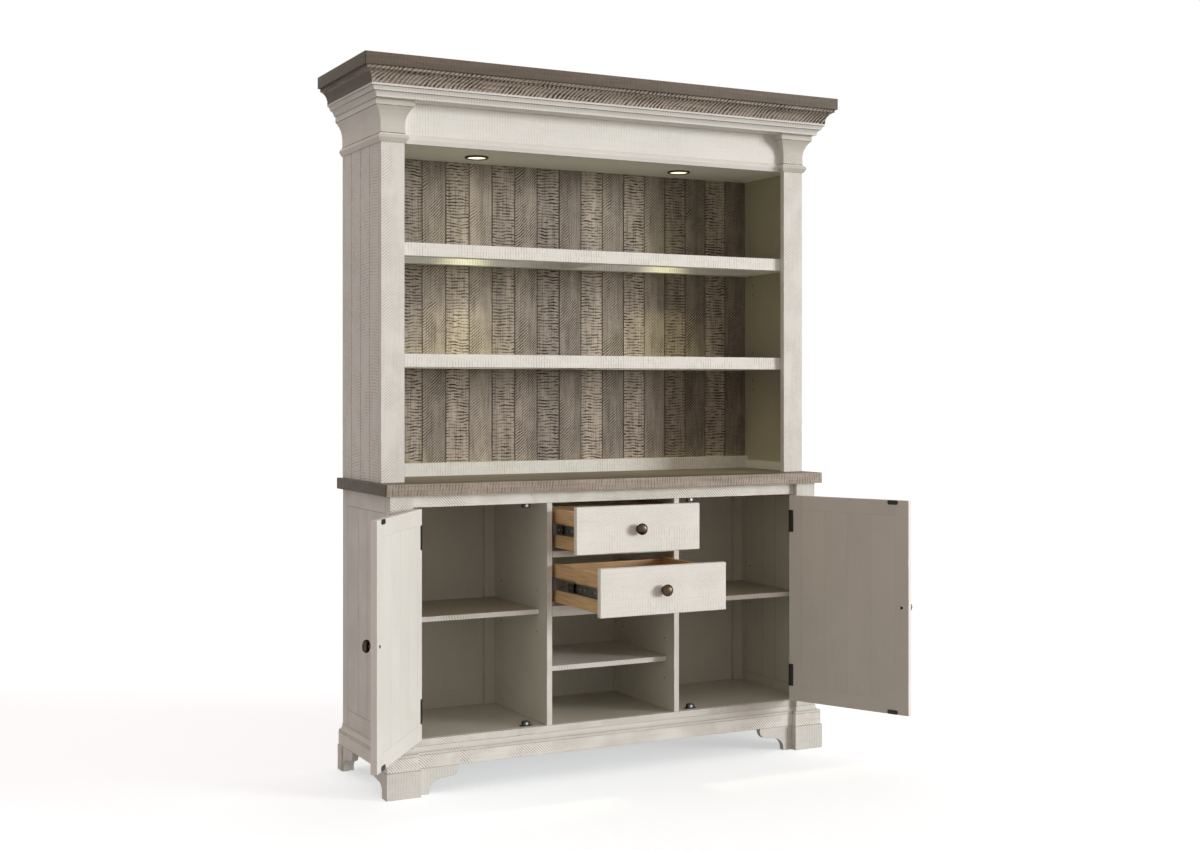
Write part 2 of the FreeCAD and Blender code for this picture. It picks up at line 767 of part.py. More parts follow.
def capitals():
    # cavetto tangent to the neck, so its radius follows from its rise and projection
    cavetto_top = size.capital_height - size.abacus_height
    cavetto_foot = cavetto_top - size.cavetto_rise
    shoulder = size.capital_projection - size.abacus_fillet
    run = shoulder - size.astragal_neck
    radius = (run * run + size.cavetto_rise * size.cavetto_rise) / (run * 2)
    profile = [(zero, zero)]
    profile += astragal(size.astragal_foot, size.astragal_shoulder, size.astragal_projection,
                        size.astragal_neck)
    profile += [(size.astragal_neck, cavetto_foot, radius, -1), (shoulder, cavetto_top),
                (size.capital_projection, cavetto_top),
                (size.capital_projection, size.capital_height), (zero, size.capital_height)]
    level = head_level - size.capital_height
    for side, hand in hands.items():
        path = [(hutch_half * hand, back), (hutch_half * hand, hutch_front),
                (hutch_post_inner * hand, hutch_front), (hutch_post_inner * hand, hutch_post_back)]
        node(f"{side}_capital", moulding(f"{side}_capital", hand, profile, path, level))

    nosing = [(zero, zero)] + astragal(size.astragal_foot, size.bead_shoulder,
                                       size.bead_projection, size.astragal_neck)
    nosing.append((zero, size.astragal_height))
    clear = hutch_post_inner - size.astragal_projection
    bead = padded("frieze_bead", "YZ_Plane", nosing, clear * 2)
    spun(bead, 180)
    place(bead, clear, hutch_post_back, frieze_level)
    node("frieze_bead", bead)


def shelf_frames():
    # five rails round two panes, each rail rebated along its inner edges to seat the glass
    half = hutch_inner - size.shelf_end_gap
    near = hutch_post_back + size.shelf_end_gap
    far = hutch_back_face - size.shelf_end_gap
    rail = size.shelf_rail_width
    long_span, end_span, middle_span = (-half, half), (half - rail, half), (-rail / 2, rail / 2)
    between = (near + rail, far - rail)
    panes = []
    for name, lift in (("upper", size.upper_shelf_height), ("lower", size.lower_shelf_height)):
        under = hutch_level + lift
        top = under + size.shelf_frame_height
        seat = top - size.glass_thickness
        rails = {"front_rail": (long_span, (near, near + rail)),
                 "back_rail": (long_span, (far - rail, far)),
                 "left_end": (across(-1, *end_span), between),
                 "right_end": (end_span, between),
                 "middle_rail": (middle_span, between)}
        rebates = []
        for side, hand in hands.items():
            for kept, lap, head in ((rebates, size.glass_rebate, top + size.cut_overrun),
                                    (panes, size.glass_rebate - size.glass_clearance, top)):
                kept.append(box(f"{name}_{side}_{'pane' if kept is panes else 'rebate'}",
                                across(hand, rail / 2 - lap, half - rail + lap),
                                (between[0] - lap, between[1] + lap), (seat, head)))
        node(f"{name}_shelf_frame",
             *[cut(f"{name}_{part}", box(f"{name}_{part}_blank", x, y, (under, top)), *rebates)
               for part, (x, y) in rails.items()])
    node("shelf_glass", *panes)


def lights():
    rings, lenses = [], []
    y = hutch_post_back + size.light_inset
    for side, hand in hands.items():
        x = size.light_spacing / 2 * hand
        disc = rod(f"{side}_ring_disc", "z", size.light_radius, size.light_drop,
                   x, y, ceiling_level - size.light_drop)
        hole = rod(f"{side}_ring_hole", "z", size.light_lens_radius,
                   size.light_drop + size.cut_overrun * 2, x, y,
                   ceiling_level - size.light_drop - size.cut_overrun)
        rings.append(cut(f"{side}_ring", disc, hole))
        lenses.append(rod(f"{side}_lens", "z", size.light_lens_radius - size.light_lens_clearance,
                          size.light_lens_drop, x, y, ceiling_level - size.light_lens_drop))
    node("light_rings", *rings)
    node("light_lenses", *lenses)


# edges of the bands that a knob's head is turned in, as shares of its radius and of its rise
head_edge_shares = ((0.7, 0.02), (0.94, 0.18), (1.0, 0.42), (0.93, 0.7), (0.7, 0.9), (0.3, 1.0))


def turned_knob(name):
    # flange, neck and flattened head along local z, in flat facets between many-sided rings
    rise = size.knob_length - size.knob_neck_height
    edges = [(size.knob_flange_radius, zero), (size.knob_flange_radius, size.knob_flange_thickness),
             (size.knob_neck_radius, size.knob_flare_height), (size.knob_neck_radius, size.knob_neck_height)]
    edges += [(size.knob_radius * breadth, size.knob_neck_height + rise * height)
              for breadth, height in head_edge_shares]
    turns = [math.tau * index / driving["knob_sides"] for index in range(driving["knob_sides"] + 1)]
    rings = [[FreeCAD.Vector(breadth.value * math.cos(turn), breadth.value * math.sin(turn), height.value)
              for turn in turns] for breadth, height in edges]
    facets = [rings[0], rings[-1]]
    for lower, upper in zip(rings, rings[1:]):
        for index in range(driving["knob_sides"]):
            facets.append([lower[index], lower[index + 1], upper[index + 1], upper[index], lower[index]])
    knob = document.addObject("Part::Feature", name)
    shell = Part.Shell([Part.Face(Part.makePolygon(corners)) for corners in facets])
    knob.Shape = Part.Solid(shell)
    knob.Placement = FreeCAD.Placement(
        FreeCAD.Vector(), FreeCAD.Rotation(FreeCAD.Vector(1, 0, 0), 90))
    return knob


def groove_bar(name, axis, x, y, z, length):
    # a square bar on edge that scores a V into the face at y
    side = size.groove_depth * math.sqrt(2)
    bar = document.addObject("Part::Box", name)
    bind(bar, "Length", length if axis == "x" else side)
    bind(bar, "Width", side)
    bind(bar, "Height", length if axis == "z" else side)
    lean = {"x": FreeCAD.Vector(1, 0, 0), "z": FreeCAD.Vector(0, 0, 1)}[axis]
    bar.Placement = FreeCAD.Placement(FreeCAD.Vector(), FreeCAD.Rotation(lean, 45))
    drop = size.groove_depth
    if axis == "x":
        place(bar, x, y, z - drop)
    else:
        place(bar, x, y - drop, z)
    return bar


# the door's own frame has the hinge axis at the origin and the door shut along +x
hinge_gap = size.hinge_leaf_thickness * 2 + size.hinge_leaf_clearance
door_edge = hinge_gap - size.hinge_axis_inset
door_face = size.hinge_axis_lead
door_inside = door_face + size.door_thickness
door_width = post_inner - divider_outer - hinge_gap - size.door_gap
door_foot = floor_level + size.door_gap
door_head = opening_top - size.door_gap
hinge_x = post_inner - size.hinge_axis_inset
hinge_y = rail_face - size.hinge_axis_lead
catch_reach = door_edge + door_width - size.catch_inset
hinge_levels = (door_foot + size.hinge_end_inset,
                door_head - size.hinge_end_inset - size.hinge_height)


def swung(label, side, *members):
    # turns a door's pieces about the hinge axis to the angle it stands open at
    hand = hands[side]
    item = node(label, group(f"{label}_set", members))
    angle = getattr(size, f"{side}_door_open_angle")
    item.Placement = FreeCAD.Placement(FreeCAD.Vector(), FreeCAD.Rotation(FreeCAD.Vector(0, 0, 1), hand))
    bind(item, "Placement.Rotation.Angle", angle * hand)
    place(item, hinge_x * hand, hinge_y, zero)


def door_board(side):
    # flush frame and planks scored inside, a shallow planked panel outside
    hand = -hands[side]
    low = door_edge + size.door_frame_width
    high = door_edge + door_width - size.door_frame_width
    foot = door_foot + size.door_frame_width
    head = door_head - size.door_frame_width
    board = box(f"{side}_door_blank", across(hand, door_edge, door_edge + door_width),
                (door_face, door_inside), (door_foot, door_head))
    tools = [box(f"{side}_door_recess", across(hand, low, high),
                 (door_face - size.cut_overrun, door_face + size.door_panel_recess), (foot, head))]
    pitch = (high - low) / size.door_plank_count
    for index in range(driving["door_plank_count"] + 1):
        x = (low + pitch * index) * hand
        tools.append(groove_bar(f"{side}_door_score_{index}", "z", x, door_inside, foot, head - foot))
        if 0 < index < driving["door_plank_count"]:
            tools.append(groove_bar(f"{side}_door_joint_{index}", "z", x,
                                    door_face + size.door_panel_recess, foot, head - foot))
    for name, level in (("foot", foot), ("head", head)):
        x = low if hand > 0 else -high
        tools.append(groove_bar(f"{side}_door_{name}_score", "x", x, door_inside, level, high - low))
    swung(f"{side}_door", side, cut(f"{side}_door_board", board, *tools))


def knuckle_spans(level):
    # outer, middle and outer knuckles of one hinge, parted by the axial gap
    third = size.hinge_height / 3
    half_gap = size.knuckle_gap / 2
    return ((level, level + third - half_gap),
            (level + third + half_gap, level + third * 2 - half_gap),
            (level + third * 2 + half_gap, level + size.hinge_height))


def knuckle(name, span, x, y):
    return rod(name, "z", size.knuckle_radius, span[1] - span[0], x, y, span[0])


def door_leaf(name, side, level):
    # wraps the door's edge and lies on its inside, with the middle knuckle
    hand = -hands[side]
    spans = knuckle_spans(level)
    full = (level, level + size.hinge_height)
    free = size.knuckle_radius + size.knuckle_gap
    outer = door_edge - size.hinge_leaf_thickness
    edge = across(hand, outer, door_edge)
    wrap = door_inside + size.hinge_leaf_thickness
    members = [box(f"{name}_edge", edge, (free, wrap), full),
               box(f"{name}_face", across(hand, outer, door_edge + size.hinge_face_width),
                   (door_inside, wrap), full),
               box(f"{name}_neck", edge, (zero, free), spans[1]),
               knuckle(f"{name}_knuckle", spans[1], zero, zero)]
    bore = rod(f"{name}_bore", "z", size.hinge_pin_radius + size.hinge_pin_clearance,
               size.hinge_height, zero, zero, level)
    return cut(name, fuse(f"{name}_solid", *members), bore)


def post_leaf(name, side, level):
    # lies on the post's inner face, with the two outer knuckles and the pin held in them
    hand = hands[side]
    spans = knuckle_spans(level)
    free = size.knuckle_radius + size.knuckle_gap
    leaf = across(hand, post_inner - size.hinge_leaf_thickness, post_inner)
    members = [box(f"{name}_plate", leaf, (hinge_y + free, rail_face + size.door_thickness),
                   (level, level + size.hinge_height))]
    for index in (0, 2):
        members.append(box(f"{name}_neck_{index}", leaf, (hinge_y, hinge_y + free), spans[index]))
        members.append(knuckle(f"{name}_knuckle_{index}", spans[index], hinge_x * hand, hinge_y))
    members.append(rod(f"{name}_pin", "z", size.hinge_pin_radius, size.hinge_height,
                       hinge_x * hand, hinge_y, level))
    return fuse(name, *members)


def doors():
    post_leaves = []
    for side, hand in hands.items():
        door_board(side)
        leaves, strikes = [], []
        for index, level in enumerate(hinge_levels):
            leaves.append(door_leaf(f"{side}_door_leaf_{index}", side, level))
            post_leaves.append(post_leaf(f"{side}_post_leaf_{index}", side, level))
        swung(f"{side}_door_hinge_leaves", side, *leaves)
        for index, foot in enumerate((door_foot, door_head - size.strike_height)):
            strikes.append(box(f"{side}_strike_{index}",
                               across(-hand, catch_reach - size.strike_width / 2,
                                      catch_reach + size.strike_width / 2),
                               (door_inside, door_inside + size.strike_thickness),
                               (foot, foot + size.strike_height)))
        swung(f"{side}_door_strikes", side, *strikes)
        knob = turned_knob(f"{side}_door_turned_knob")
        place(knob, (door_edge + door_width - size.door_knob_inset) * -hand, door_face,
              (door_foot + door_head) / 2)
        swung(f"{side}_door_knob", side, knob)
    node("hinge_post_leaves", *post_leaves)


def catches():
    cases, poles = [], []
    tip = rail_face + size.door_thickness + size.strike_thickness + size.catch_gap
    case_front = tip + size.catch_pole_lead
    middle = hinge_x - catch_reach
    half = size.catch_width / 2
    pole_half = size.strike_width / 2
    for side, hand in hands.items():
        for name, foot in (("lower", floor_level), ("upper", opening_top - size.catch_height)):
            case = box(f"{side}_{name}_case", across(hand, middle - half, middle + half),
                       (case_front, case_front + size.catch_depth), (foot, foot + size.catch_height))
            level = foot + (size.catch_height - size.catch_pole_thickness) / 2
            pole = (across(hand, middle - pole_half, middle + pole_half),
                    (tip, case_front + size.catch_depth / 2),
                    (level, level + size.catch_pole_thickness))
            cases.append(cut(f"{side}_{name}_catch", case, box(f"{side}_{name}_slot", *pole)))
            poles.append(box(f"{side}_{name}_pole", *pole))
    node("door_catches", *cases)
    node("catch_poles", *poles)


def slide_channel(name, hand, on_wall, lips, half, length):
    # a rolled channel seen from its end, with its web on the wall's or the drawer's side
    low, high = lips
    inner = half - size.slide_sheet
    web, web_inside, tip = low, low + size.slide_sheet, high
    if not on_wall:
        web, web_inside, tip = high, high - size.slide_sheet, low
    outline = [(web, -half), (tip, -half), (tip, -inner), (web_inside, -inner),
               (web_inside, inner), (tip, inner), (tip, half), (web, half)]
    return padded(name, "XZ_Plane", [(x * -hand, level) for x, level in outline], length)


slide_front = rail_face + size.drawer_front_thickness + size.slide_front_inset
slide_length = base_back_face - size.slide_back_clearance - slide_front


def drawer(name, top, pull):
    # the drawer stands pulled out of its opening, whose top edge is given
    face = rail_face - pull
    inside = face + size.drawer_front_thickness
    half = divider_inner - size.drawer_side_gap
    head = top - size.drawer_top_gap
    foot = top - size.drawer_opening_height + size.drawer_foot_gap
    node(f"{name}_drawer_front", box(f"{name}_drawer_front", (-half, half), (face, inside), (foot, head)))

    box_half = divider_inner - size.slide_width
    box_back = inside + size.slide_front_inset + slide_length
    board = size.drawer_board_thickness
    box_foot = foot + size.drawer_box_foot_lift
    box_head = head - size.drawer_box_top_drop
    bottom = box_foot + size.drawer_bottom_lift
    bottom_top = bottom + size.drawer_bottom_thickness
    boards = [box(f"{name}_drawer_{side}_side", across(hand, box_half - board, box_half),
                  (inside, box_back), (box_foot, box_head)) for side, hand in hands.items()]
    across_box = (board - box_half, box_half - board)
    boards.append(box(f"{name}_drawer_back", across_box, (box_back - board, box_back),
                      (bottom_top, box_head - size.drawer_back_drop)))
    boards.append(box(f"{name}_drawer_bottom", across_box, (inside, box_back), (bottom, bottom_top)))
    node(f"{name}_drawer_box", *boards)

    knob = turned_knob(f"{name}_drawer_knob")
    place(knob, zero, face, (foot + head) / 2)
    node(f"{name}_drawer_knob", knob)

    middle = (box_foot + box_head) / 2
    step = size.slide_sheet + size.slide_running_gap
    half_high = size.slide_height / 2
    fixed, carried, riding = [], [], []
    for side, hand in hands.items():
        members = (
            (fixed, "fixed", True, (zero, size.slide_lip), half_high, zero),
            (carried, "middle", True, (step, size.slide_width - step), half_high - step, pull / 2),
            (riding, "drawer", False, (step * 2, size.slide_width), half_high - step * 2, pull),
        )
        for kept, part, on_wall, lips, height, moved in members:
            channel = slide_channel(f"{name}_{side}_{part}_slide", hand, on_wall, lips, height,
                                    slide_length)
            place(channel, divider_inner * hand, slide_front - moved + slide_length, middle)
            kept.append(channel)
    fixed_slides.extend(fixed)
    node(f"{name}_slide_middles", *carried)
    node(f"{name}_drawer_slides", *riding)


fixed_slides = []

base_carcass()
slab("countertop", base_half + size.counter_side_overhang, front - size.counter_front_overhang, back,
     counter_level, size.counter_thickness, size.counter_corner_radius)
base_moulding()
plinth()
feet()
hutch_carcass()
crown()
capitals()
shelf_frames()
lights()
doors()
catches()
drawer("upper", opening_top, size.upper_drawer_pull)
drawer("lower", lower_opening_top, size.lower_drawer_pull)
node("slide_cabinet_members", *fixed_slides)
node("shelf_pins", *shelf_pins)

document.recompute()
for item in document.Objects:
    if "Invalid" in item.State or "Error" in item.State:
        raise RuntimeError(f"{item.Name} did not compute: {item.State}")
for item in nodes:
    if item.Shape.isNull() or not item.Shape.isValid() or not item.Shape.Solids:
        raise RuntimeError(f"{item.Label} has no sound solid")

os.makedirs("parts", exist_ok=True)
for item in nodes:
    item.Shape.exportStep(f"parts/{item.Label}.step")
print(f"{len(nodes)} sub-parts, {sum(len(item.Shape.Solids) for item in nodes)} solids")
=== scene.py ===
import json
import math
import random
import bmesh
import bpy
from mathutils import Matrix, Vector


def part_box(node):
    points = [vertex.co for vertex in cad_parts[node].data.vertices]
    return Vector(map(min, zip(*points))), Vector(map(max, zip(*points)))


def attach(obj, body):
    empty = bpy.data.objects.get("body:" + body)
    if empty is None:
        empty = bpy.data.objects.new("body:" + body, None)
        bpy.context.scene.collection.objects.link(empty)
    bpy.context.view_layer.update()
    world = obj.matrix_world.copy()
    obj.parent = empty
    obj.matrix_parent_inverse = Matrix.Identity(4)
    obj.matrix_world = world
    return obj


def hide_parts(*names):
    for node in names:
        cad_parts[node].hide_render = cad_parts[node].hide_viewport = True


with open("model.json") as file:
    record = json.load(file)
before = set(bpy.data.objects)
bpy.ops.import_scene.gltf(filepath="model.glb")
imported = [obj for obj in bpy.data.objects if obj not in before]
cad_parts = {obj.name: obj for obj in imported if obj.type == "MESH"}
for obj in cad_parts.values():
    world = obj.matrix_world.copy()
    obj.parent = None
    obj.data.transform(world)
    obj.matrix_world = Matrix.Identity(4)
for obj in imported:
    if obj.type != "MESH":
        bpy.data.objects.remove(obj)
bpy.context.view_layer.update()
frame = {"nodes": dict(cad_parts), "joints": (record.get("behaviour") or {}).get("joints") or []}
joints = {joint["name"]: joint for joint in frame["joints"]}
dice = random.Random(23)
mm = 0.001
axisOf = {"x": 0, "y": 1, "z": 2}
sideNames = (("left", "right"), ("front", "back"), ("under", "top"))
# Shared by all pieces: welds, cuts and the usual arris in mm; angles in degrees. Edges that turn by less than
# a bend are shaded smooth; an edge goes through a plate where that share of it runs from front to back.
workshop = {"weld": 0.02, "seam": 0.01, "cut": 0.001, "near": 0.1, "shortEdge": 4, "arris": 0.9,
            "flat": 1, "corner": 32, "woodBend": 12, "metalBend": 30, "knobBend": 40, "through": 0.9}


def linear(hexCode):
    parts = [int(hexCode[i:i + 2], 16) / 255 for i in (1, 3, 5)]
    return [p / 12.92 if p <= 0.04045 else ((p + 0.055) / 1.055) ** 2.4 for p in parts] + [1.0]


def addNode(tree, kind, sockets=None, out=0, **settings):
    node = tree.nodes.new(kind)
    for key, value in settings.items():
        setattr(node, key, value)
    for key, value in (sockets or {}).items():
        if isinstance(value, bpy.types.NodeSocket):
            tree.links.new(value, node.inputs[key])
        else:
            node.inputs[key].default_value = value
    return node.outputs[out]


def newMaterial(name, **constants):
    material = bpy.data.materials.new(name)
    material.use_nodes = True
    shader = material.node_tree.nodes["Principled BSDF"]
    for key, value in constants.items():
        shader.inputs[key].default_value = value
    return material, material.node_tree, shader


# Each wood finish: colours, then strengths from 0 to 1 and sizes in mm. A field is a cloud of noise: its
# length along the grain, its width across, its detail, the range of it that is kept, and what that range
# becomes. Saw lines are drawn at the spacing that shows in a picture of the whole piece; the finest fibres of
# the real wood are half as wide as these.
# In each look, shade is the colour that painted shade mixes in.
woodLooks = {
    # Milk paint over band-sawn boards: matt warm white, thin grey glaze in the saw lines and at the edges,
    # where the darkening is partly painted shade.
    "antiqueWhitePaint": {
        "body": "#dcddd6", "fibreColour": "#bdb8ad", "glaze": "#968c80", "rimColour": "#6d6257",
        "shade": "#c6bea6", "toneSpread": 0.03, "fibre": 0.34, "cut": 0.82, "edge": (0.0, 0.9), "pitch": 9.0,
        "bow": 6.0, "steep": 1.0, "wander": 5.0, "rim": 0.6, "rough": (0.5, 0.68), "relief": 0.3,
        "fields": {"sway": (70, 70, 2, 0, 1, -0.5, 0.5), "patch": (120, 90, 3, 0.36, 0.6, 0.12, 1),
                   "dash": (14, 20, 2, 0.34, 0.54, 0, 1), "fibre": (150, 4.5, 3, 0.45, 0.75, 0, 1),
                   "cloud": (350, 350, 3, 0.3, 0.7, 0.97, 1.03), "wearAndShade": (30, 30, 3, 0.3, 0.6, 0.35, 1)},
    },
    # Grey-brown stain over coarse-sawn boards: dull, open, with dark cut lines and pale raised fibre.
    "weatheredStain": {
        "body": "#a99f91", "fibreColour": "#7d7163", "glaze": "#2b241c", "rimColour": "#2c251f",
        "shade": "#918470", "toneSpread": 0.24, "fibre": 0.85, "cut": 1.0, "edge": (-0.45, 0.55),
        "pitch": 9.8, "bow": 4.0, "steep": 1.0, "wander": 12.0, "rim": 0.85, "rough": (0.55, 0.8),
        "relief": 0.6,
        "fields": {"sway": (60, 45, 2, 0, 1, -0.5, 0.5), "patch": (90, 45, 3, 0.36, 0.6, 0.5, 1),
                   "dash": (8, 30, 3, 0.36, 0.56, 0, 1), "fibre": (130, 4.5, 3, 0.42, 0.72, 0, 1),
                   "cloud": (500, 40, 3, 0.3, 0.7, 0.8, 1.12), "wearAndShade": (24, 24, 3, 0.3, 0.6, 0.35, 1)},
    },
    # Clear-lacquered oak: honey colour with long pores and a soft sheen.
    "lacqueredOak": {
        "body": "#d6b687", "fibreColour": "#a27b4b", "glaze": "#8a6437", "rimColour": "#9a7443",
        "shade": "#b9a68a", "toneSpread": 0.06, "fibre": 0.75, "cut": 0.0, "edge": (0.0, 0.9), "pitch": 6.0,
        "bow": 0.0, "steep": 1.0, "wander": 4.0, "rim": 0.2, "rough": (0.38, 0.5), "relief": 0.12,
        "fields": {"sway": (70, 70, 2, 0, 1, -0.5, 0.5), "patch": (90, 90, 3, 0.34, 0.62, 0, 1),
                   "dash": (12, 20, 2, 0.3, 0.5, 0, 1), "fibre": (110, 3.4, 4, 0.44, 0.68, 0, 1),
                   "cloud": (300, 60, 3, 0.3, 0.7, 0.9, 1.08), "wearAndShade": (30, 30, 3, 0.3, 0.6, 0.4, 1)},
    },
}
# The same for all three: how much of a long line goes missing in its gaps and how much more of a stroke, the
# fibre that smooth faces show and what saw lines add, its depth beside theirs, and their depth in mm.
sawnShare = {"lineLoss": 0.35, "strokeLoss": 0.65, "smoothFibre": 0.3, "sawnFibre": 0.7, "fibreDepth": 0.4,
             "depth": 0.6, "fullCut": 0.5, "specular": 0.3}
# A blend takes its two colours at sockets 6 and 7 and gives the mixed one at 2.
sums, remap, blend = "ShaderNodeMath", "ShaderNodeMapRange", "ShaderNodeMix"


def sawnWood(name, look):
    material, tree, shader = newMaterial(name)
    grain = addNode(tree, "ShaderNodeUVMap", uv_map="grain")
    along = addNode(tree, "ShaderNodeSeparateXYZ", {"Vector": grain})
    across = along.node.outputs["Y"]
    board = addNode(tree, "ShaderNodeAttribute", out="Color", attribute_name="board")
    hatch = board.node.outputs["Alpha"]
    tone = addNode(tree, "ShaderNodeSeparateColor", {"Color": board})
    saw, lean = tone.node.outputs["Green"], tone.node.outputs["Blue"]
    rim = addNode(tree, "ShaderNodeAttribute", out="Fac", attribute_name="rim")
    field = {}
    for key, (length, width, detail, low, high, start, end) in look["fields"].items():
        spot = addNode(tree, "ShaderNodeVectorMath", {0: grain, 1: (1000 / length, 1000 / width, 1)},
                       operation="MULTIPLY")
        noise = addNode(tree, "ShaderNodeTexNoise", {"Vector": spot, "Scale": 1.0, "Detail": detail})
        field[key] = addNode(tree, remap, {"Value": noise, "From Min": low, "From Max": high, "To Min": start,
                                           "To Max": end}, interpolation_type="SMOOTHSTEP")

    # Saw lines lean across the board, bowed as a round blade leaves them; hatched boards break them up.
    slope = addNode(tree, sums, {0: lean, 1: 2 * look["steep"], 2: -look["steep"]}, operation="MULTIPLY_ADD")
    bow = addNode(tree, sums, {0: across, 1: look["bow"], 2: 1.0}, operation="MULTIPLY_ADD")
    bowed = addNode(tree, sums, {0: across, 1: bow}, operation="MULTIPLY")
    place = addNode(tree, sums, {0: bowed, 1: slope, 2: along}, operation="MULTIPLY_ADD")
    place = addNode(tree, sums, {0: field["sway"], 1: look["wander"] * mm, 2: place},
                    operation="MULTIPLY_ADD")
    turns = addNode(tree, sums, {0: place, 1: 2 * math.pi / (look["pitch"] * mm)}, operation="MULTIPLY")
    wave = addNode(tree, sums, {0: turns}, operation="SINE")
    lines = addNode(tree, remap, {"Value": wave, "From Min": look["edge"][0], "From Max": look["edge"][1]},
                    interpolation_type="SMOOTHSTEP")
    gaps = addNode(tree, sums, {0: hatch, 1: sawnShare["strokeLoss"], 2: sawnShare["lineLoss"]},
                   operation="MULTIPLY_ADD")
    missing = addNode(tree, sums, {0: 1.0, 1: field["dash"]}, operation="SUBTRACT")
    lost = addNode(tree, sums, {0: gaps, 1: missing}, operation="MULTIPLY")
    kept = addNode(tree, sums, {0: 1.0, 1: lost}, operation="SUBTRACT")
    worked = addNode(tree, sums, {0: lines, 1: field["patch"]}, operation="MULTIPLY")
    worked = addNode(tree, sums, {0: worked, 1: kept}, operation="MULTIPLY")
    strength = addNode(tree, sums, {0: saw, 1: look["cut"]}, operation="MULTIPLY")
    cut = addNode(tree, sums, {0: worked, 1: strength}, operation="MULTIPLY")
    show = addNode(tree, sums, {0: saw, 1: sawnShare["sawnFibre"] * look["fibre"],
                                2: sawnShare["smoothFibre"] * look["fibre"]}, operation="MULTIPLY_ADD")
    fibre = addNode(tree, sums, {0: field["fibre"], 1: show}, operation="MULTIPLY")

    # Body, fibre and glaze; a tone from 0 to 1 varies the paint at random, above 1 it is painted light, and
    # below 0 it mixes in the shade colour as painted shade; edges are darkened, partly rubbed, partly painted
    # shade.
    colour = addNode(tree, blend, {0: fibre, 6: linear(look["body"]), 7: linear(look["fibreColour"])}, out=2,
                     data_type="RGBA")
    colour = addNode(tree, blend, {0: cut, 6: colour, 7: linear(look["glaze"])}, out=2, data_type="RGBA")
    light = addNode(tree, sums, {0: tone, 1: 0.0}, operation="MAXIMUM")
    light = addNode(tree, sums, {0: light, 1: 2 * look["toneSpread"], 2: 1 - look["toneSpread"]},
                    operation="MULTIPLY_ADD")
    light = addNode(tree, sums, {0: light, 1: field["cloud"]}, operation="MULTIPLY")
    colour = addNode(tree, "ShaderNodeHueSaturation", {"Value": light, "Color": colour})
    shaded = addNode(tree, sums, {0: tone, 1: -1.0}, operation="MULTIPLY", use_clamp=True)
    colour = addNode(tree, blend, {0: shaded, 6: colour, 7: linear(look["shade"])}, out=2, data_type="RGBA",
                     blend_type="MULTIPLY")
    rubbedAndShaded = addNode(tree, sums, {0: rim, 1: look["rim"]}, operation="MULTIPLY")
    rubbedAndShaded = addNode(tree, sums, {0: rubbedAndShaded, 1: field["wearAndShade"]}, operation="MULTIPLY")
    colour = addNode(tree, blend, {0: rubbedAndShaded, 6: colour, 7: linear(look["rimColour"])}, out=2,
                     data_type="RGBA")
    height = addNode(tree, sums, {0: fibre, 1: -sawnShare["fibreDepth"]}, operation="MULTIPLY")
    height = addNode(tree, sums, {0: height, 1: cut}, operation="SUBTRACT")
    bump = addNode(tree, "ShaderNodeBump", {"Strength": look["relief"], "Distance": sawnShare["depth"] * mm,
                                            "Height": height})
    rough = addNode(tree, remap, {"Value": cut, "From Max": sawnShare["fullCut"], "To Min": look["rough"][0],
                                  "To Max": look["rough"][1]})
    tree.links.new(colour, shader.inputs["Base Color"])
    tree.links.new(rough, shader.inputs["Roughness"])
    tree.links.new(bump, shader.inputs["Normal"])
    shader.inputs["Specular IOR Level"].default_value = sawnShare["specular"]
    return material


# Metals and the rest: colour, metal share, roughness range and the size in mm of the unevenness.
plainLooks = {
    # Oil-rubbed bronze: dark with a brown cast and a soft highlight where hands polish it.
    "oilRubbedBronze": {"colours": ("#3a3129", "#5e5244"), "metal": 1.0, "rough": (0.26, 0.36), "size": 9,
                        "edgeTint": "#2a241e"},
    # Black electro-coated steel: dark and even with a dull sheen.
    "blackCoatedSteel": {"colours": ("#1c1b1a", "#2b2a29"), "metal": 0.35, "rough": (0.36, 0.5), "size": 14},
    # Black zinc on rolled steel: dark grey that still mirrors the light along its edges.
    "blackZincSteel": {"colours": ("#6a6662", "#8b8782"), "metal": 0.9, "rough": (0.26, 0.4), "size": 14},
    # Zinc-plated steel: bright cold grey, slightly clouded.
    "zincPlatedSteel": {"colours": ("#a9a9a6", "#c4c4c0"), "metal": 1.0, "rough": (0.24, 0.4), "size": 6},
    # Flat discs for drilled bores: raw wood darkened as painted shade, since a bore sees little light.
    "boreShade": {"colours": ("#2a231c", "#3a3128"), "metal": 0.0, "rough": (0.8, 0.9), "size": 3},
}
# The same for all five: grit of 0.56 mm, its strength, its depth in mm, and the range of the clouds in use.
plainShare = {"grit": 1 / 1.8, "relief": 0.15, "depth": 0.1, "clouds": (0.3, 0.7)}


